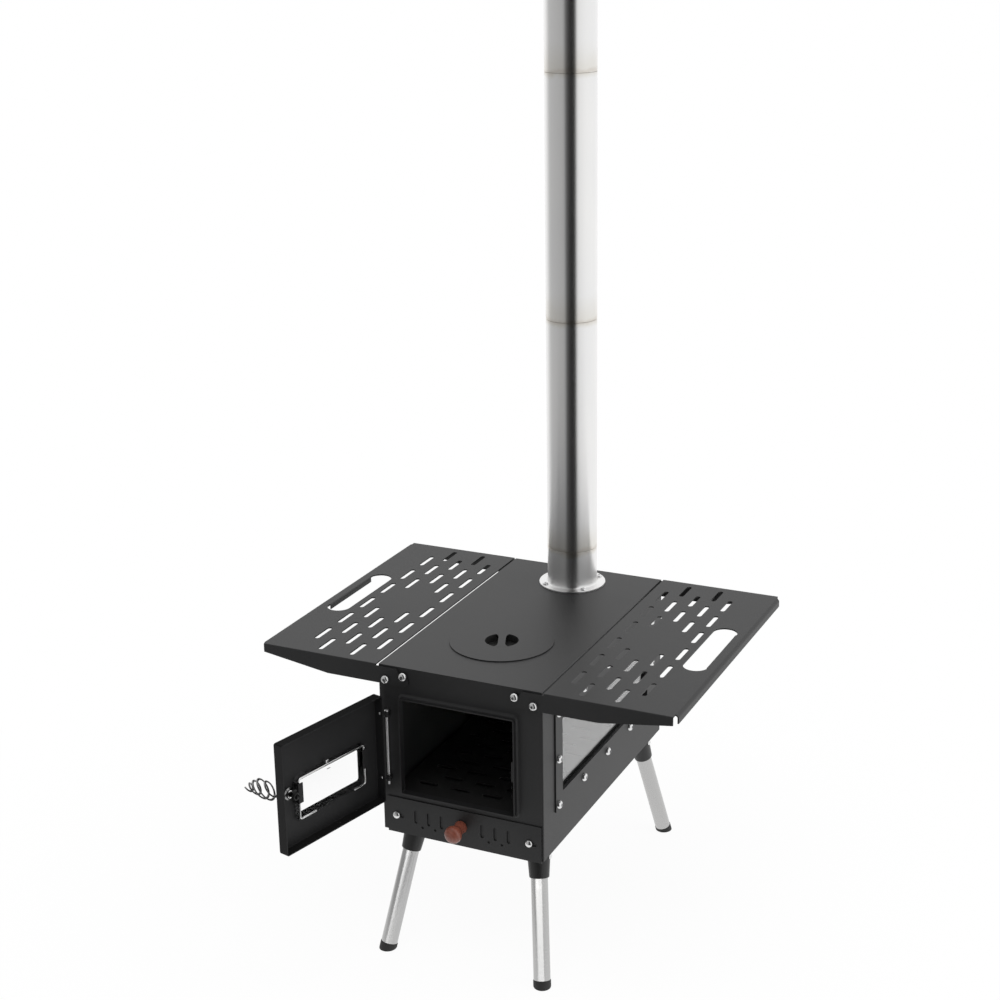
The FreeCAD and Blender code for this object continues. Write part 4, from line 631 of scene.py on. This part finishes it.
def solids_of(node):
    """Lowest and highest corner of each separate solid in a CAD piece, in millimetres."""
    made = copy_of(node)
    boxes = []
    met = set()
    for first in made.verts:
        if first in met:
            continue
        met.add(first)
        group = [first]
        for spot in group:
            near = [edge.other_vert(spot) for edge in spot.link_edges]
            fresh = [other for other in near if other not in met]
            met.update(fresh)
            group.extend(fresh)
        corners = list(zip(*(spot.co / MM for spot in group)))
        boxes.append((Vector(map(min, corners)), Vector(map(max, corners))))
    made.free()
    return boxes


def set_bolts(node, make, rise, way):
    """A modelled bolt for each bolt of a CAD piece, its head along the way, or against it at the back."""
    way = Vector(way)
    bolts = []
    for count, (low, high) in enumerate(solids_of(node)):
        middle = (low + high) / 2
        out = -way if way.y and middle.y > 0 else way
        reach = abs((high - low).dot(way))
        seat = middle + out * (reach / 2 - rise)
        bolts.append(move(make(reach - rise), seat, out, twist=KEY_TWIST * count))
    stand_in(join(bolts), node, "turned", zinc, SHEET_ANGLE)


# Door, latch and handle

def door_spot(x, y, z):
    """A point of the shut door, carried open about the hinge pin."""
    return DOOR_TURN @ (Vector((x, y, z)) - HINGE_PIN) + HINGE_PIN


def door_way(x, y, z):
    """A direction on the shut door, carried open."""
    return door_spot(x, y, z) - door_spot(0, 0, 0)


latch_at = door_spot(*LATCH_PLACE)
latch_way = door_way(0, 1, 0)


def off_shaft(spot):
    """The part of a spot's distance from the latch shaft that lies across it."""
    reach = spot / MM - latch_at
    return reach - latch_way * reach.dot(latch_way)


def on_shaft(face):
    return off_shaft(face.calc_center_median()).length < SHAFT_LIMIT


def slim_hub(made):
    """Draws the shaft's hub in to the radius of the shaft."""
    for spot in made.verts:
        across = off_shaft(spot.co)
        if SHAFT_LIMIT < across.length < HUB_LIMIT:
            spot.co -= across * (1 - SHAFT_RADIUS / across.length) * MM


def slant_turns(made, slant=0.65, short=0.78, lead=9):
    """Sets the coil's turns closer and slants them, their upper sides drawn out from the door."""
    out = door_way(math.sin(COIL_LEAN), -math.cos(COIL_LEAN), 0).normalized()
    reaches = [(spot.co / MM - latch_at).dot(out) for spot in made.verts]
    start = min(reaches)
    radius = max(abs(spot.co.z / MM - latch_at.z) for spot in made.verts)
    for spot, reach in zip(made.verts, reaches):
        along = reach - start
        drawn = slant * (spot.co.z / MM - latch_at.z + radius) * min(along / lead, 1)
        spot.co += out * (along * (short - 1) + drawn) * MM


def latch_ring():
    """A bright ring nut on the latch shaft, against the door."""
    profile = [(2.55, 0), (4.9, 0), (5.1, 0.4), (4.9, 1.6), (4.3, 2.3), (3.6, 2.4), (2.55, 1.9), (2.55, 0)]
    made = move(spun(profile, 32), latch_at + latch_way * RING_SEAT, latch_way)
    finished(made, "latch_ring", zinc, body_of("latch_shaft"))


def side_clips_only(made):
    upper = [spot for spot in made.verts if spot.co.z > SIDE_CLIP_TOP * MM]
    bmesh.ops.delete(made, geom=upper, context="VERTS")


def pane_tab(place=(4.3, -190.3, 275.2), size=(5, 6, 3.6), ease=0.9):
    """A bright tab over the upper run of the wire that holds the door's pane."""
    made = bmesh.new()
    bmesh.ops.create_cube(made, size=MM, matrix=Matrix.Diagonal((*size, 1)))
    ease_edges(made, made.edges, ease, segments=3)
    bmesh.ops.rotate(made, cent=(0, 0, 0), matrix=DOOR_TURN, verts=made.verts)
    bmesh.ops.translate(made, vec=door_spot(*place) * MM, verts=made.verts)
    finished(made, "pane_tab", zinc, body_of("pane_clips"))


def hinge_rivets(x=-78.5, y=-186.7, levels=(222.6, 301.0)):
    """Bright rivets that hold the hinge knuckles to the door's lip."""
    rivets = []
    for level in levels:
        rivet = dome_bolt(length=1.0, head=1.7, rise=1.0, shank=0.9)
        rivets.append(move(rivet, door_spot(x, y, level), door_way(1, 0, 0)))
    finished(join(rivets), "hinge_rivets", zinc, "door")


# Flue, legs, shelves and lid

def flue_flange():
    """A flat ring on the top plate, coved up to the collar."""
    outline = [(30.1, 0), (40.0, 0), (40.3, 0.3), (40.3, 1.6), (39.9, 2.0), (32.2, 2.0), (31.2, 2.5),
               (30.6, 3.4), (30.3, 4.6), (30.15, 6.1), (30.1, 6.1), (30.1, 0)]
    profile = [(radius, TOP + rise) for radius, rise in outline]
    turned_node("flue_flange", profile, pipe_steel, FLUE, steps=96)


def pipe_top(end):
    """The rounded upper rim of a pipe, from the outside in."""
    return [(PIPE_RADIUS, end - 0.6), (PIPE_RADIUS - 0.15, end - 0.1), (PIPE_RADIUS - 0.4, end),
            (PIPE_BORE, end)]


def flue_collar():
    """A short tube through the top plate."""
    foot = TOP - COLLAR_DEPTH
    profile = [(PIPE_BORE, foot), (PIPE_RADIUS, foot), *pipe_top(PIPE_RIMS[0]), (PIPE_BORE, foot)]
    turned_node("flue_collar", profile, pipe_steel, FLUE, steps=96)


def flue_pipe(name, rim):
    """A push-fit section: a spigot below the rim it stands on, and a rolled shoulder above."""
    foot, neck = rim - SPIGOT_LENGTH, rim + SHOULDER_GAP
    shoulder = [(SPIGOT_RADIUS, neck), (PIPE_RADIUS - 0.5, neck), (PIPE_RADIUS - 0.15, neck + 0.15),
                (PIPE_RADIUS, neck + 0.6)]
    bore = [(PIPE_BORE, rim + 1.0), (SPIGOT_BORE, rim + 1.0), (SPIGOT_BORE, foot)]
    profile = [(SPIGOT_BORE, foot), (SPIGOT_RADIUS, foot), *shoulder, *pipe_top(rim + SECTION_LENGTH), *bore]
    turned_node(f"flue_pipe_{name}", profile, pipe_steel, FLUE, steps=96)


def leg(corner, side, along):
    """A tube from just under the bottom plate into its foot, splayed towards its corner."""
    head = Vector((side * LEG_HEAD_X, LEG_HEAD_BACK if along > 0 else LEG_HEAD_FRONT, LEG_TOP))
    way = Vector((side * LEG_RUN_X, along * LEG_RUN_Y, -LEG_TOP)).normalized()
    start = (LEG_GAP + LEG_RADIUS * math.sqrt(1 - way.z ** 2)) / -way.z
    end = LEG_FALL / -way.z
    eased = LEG_RADIUS - LEG_EASE
    profile = [(LEG_BORE, start), (eased, start), (LEG_RADIUS, start + LEG_EASE),
               (LEG_RADIUS, end - LEG_EASE), (eased, end), (LEG_BORE, end), (LEG_BORE, start)]
    return turned_node(f"leg_{corner}", profile, leg_steel, head, way, steps=48)


def hand_lip(shelf, side, edge=237, half=49, bend=2.0, drop=4.0, wall=1.2):
    """A rolled finger lip along the outer side of a shelf's hand hole."""
    made = bmesh.new()
    start = [made.verts.new((side * edge * MM, -half * MM, level * MM)) for level in (TOP, TOP - wall)]
    rim = made.edges.new(start)
    centre = (side * edge * MM, -half * MM, (TOP - bend) * MM)
    bent = bmesh.ops.spin(made, geom=start + [rim], cent=centre, axis=(0, -side, 0), angle=math.pi / 2,
                          steps=6)
    fallen = bmesh.ops.extrude_edge_only(made, edges=edges_in(bent["geom_last"]))["geom"]
    bmesh.ops.translate(made, vec=(0, 0, -drop * MM), verts=spots_in(fallen))
    grow_faces(made, (0, 2 * half, 0))
    finished(made, f"{shelf}_lip", black, body_of(shelf))


def in_cup(face):
    reach = face.calc_center_median() / MM - LID
    return reach.z < -CUP_LIP and reach.xy.length < CUP_RADIUS


def turn_lid(made):
    bmesh.ops.rotate(made, cent=LID * MM, matrix=LID_TURN, verts=made.verts)


def lid_bar(half_length=19.3, half_width=4.2, flare=6, wall=1.2, lift=0.04):
    """The bar across the lid's finger cup, widening to the rim at both ends."""
    made = bmesh.new()
    bmesh.ops.create_grid(made, x_segments=2, y_segments=20, size=1)
    for spot in made.verts:
        spot.co.x *= (half_width + flare * spot.co.y ** 6) * MM
        spot.co.y *= half_length * MM
    grow_faces(made, (0, 0, -wall))
    bmesh.ops.rotate(made, cent=(0, 0, 0), matrix=LID_TURN, verts=made.verts)
    bmesh.ops.translate(made, vec=(LID + Vector((0, 0, lift))) * MM, verts=made.verts)
    finished(made, "lid_bar", black, body_of("lid"))


def knob():
    """The slider's wooden knob: a waist, a ball and a blind bore for its screw."""
    outline = [(2.05, 0), (7.3, 0), (7.6, 0.4), (7.5, 1.6), (7.0, 4.0), (6.55, 7.0), (6.4, 9.5), (6.8, 12.0),
               (7.9, 14.2), (9.2, 15.9), (9.85, 17.6), (10.0, 19.4), (9.8, 21.2), (9.2, 22.8), (8.1, 24.2),
               (6.4, 25.5), (4.2, 26.4), (2.0, 26.9), (0, 27.0)]
    bore = [(0, 14), (2.05, 14), (2.05, 0)]
    turned_node("knob", outline + bore, wood, KNOB_SEAT, FRONT, smooth_angle=KNOB_ANGLE)


# The stove in its studio

add_camera()
add_world()
add_floor()
add_lamp("key_over", (0.3, -0.9, 2.6), aim=(0, 0, 0.3), width=1.6, height=1.6, power=22)
add_lamp("side_right", (2.6, 0.4, 1.2), aim=(0, 0, 0.3), width=1.4, height=1.8, power=22)

# Folded sheet keeps its CAD form, with eased edges and a matt lining inside the firebox
for node in ("top_plate", "side_panel_left", "side_panel_right", "bottom_plate", "front_panel", "back_panel"):
    eased_copy(node, black, lining=black_inside)
for node in ("shelf_left", "shelf_right", "air_slider", "window_frame", "body_knuckles", "latch_strike"):
    eased_copy(node, black)
eased_copy("door_knuckles", black_door, 0.5)
# The lining on the door's upward faces is painted shade, which keeps its top lip as dark as its front
eased_copy("door_pan", black_door, 0.5, lining=painted_shade_lip, lined=faces_up)
for node in ("grate", "window_retainer"):
    eased_copy(node, black_inside)
for corner in CORNERS:
    eased_copy(f"leg_socket_{corner}", cast_black, 0.5)
    eased_copy(f"foot_{corner}", rubber, 0.6)
for node in ("shelf_bolt_nuts", "window_nuts", "slider_nuts"):
    eased_copy(node, zinc, 0.15)
for node in ("latch_nut", "latch_cam"):
    eased_copy(node, black_inside, 0.2)
for node in ("knob_screw", "pane_wire", "socket_screws"):
    smooth_copy(node, zinc)
smooth_copy("hinge_pin", pin_steel)
refinish("door_pane", clear)
refinish("window_pane", side_glass)
refinish("window_gasket", seal)

# Bolts: button heads with key sockets, plain domes on the slider
set_bolts("shelf_pivot_bolts", button_bolt, BUTTON_RISE, FRONT)
set_bolts("shelf_stop_bolts", button_bolt, BUTTON_RISE, FRONT)
set_bolts("window_bolts", button_bolt, BUTTON_RISE, RIGHT)
set_bolts("slider_screws", dome_bolt, DOME_RISE, FRONT)
set_bolts("flange_screws", flange_bolt, FLANGE_RISE, UP)

# Latch and handle: a dark shaft with a steel flange, and a coil of wire
smooth_copy("latch_shaft", wire_steel, lining=dark_steel, lined=on_shaft, change=slim_hub)
latch_ring()
smooth_copy("coil_handle", wire_steel, change=slant_turns)

# Pane clips: two dark ones at the sides, and the bright tab in place of the upper one
eased_copy("pane_clips", black_door, change=side_clips_only)
pane_tab()
hinge_rivets()

# Flue: flange, collar and three push-fit sections
flue_flange()
flue_collar()
for name, rim in zip(("lower", "middle", "upper"), PIPE_RIMS):
    flue_pipe(name, rim)

# Legs, with a strip light of their own in front
leg_tubes = bpy.data.collections.new("leg_tubes")
for corner, (side, along) in CORNERS.items():
    leg_tubes.objects.link(leg(corner, side, along))
add_lamp("leg_strip", (0.273, -1.475, 0.35), aim=(0, -0.15, 0.08), width=2.4, height=0.7, power=12,
         lit=leg_tubes)

# Shelves' finger lips, the lid turned in its seat, and the slider's knob
hand_lip("shelf_left", -1)
hand_lip("shelf_right", 1)
eased_copy("lid", black, lining=black_inside, lined=in_cup, change=turn_lid)
lid_bar()
knob()
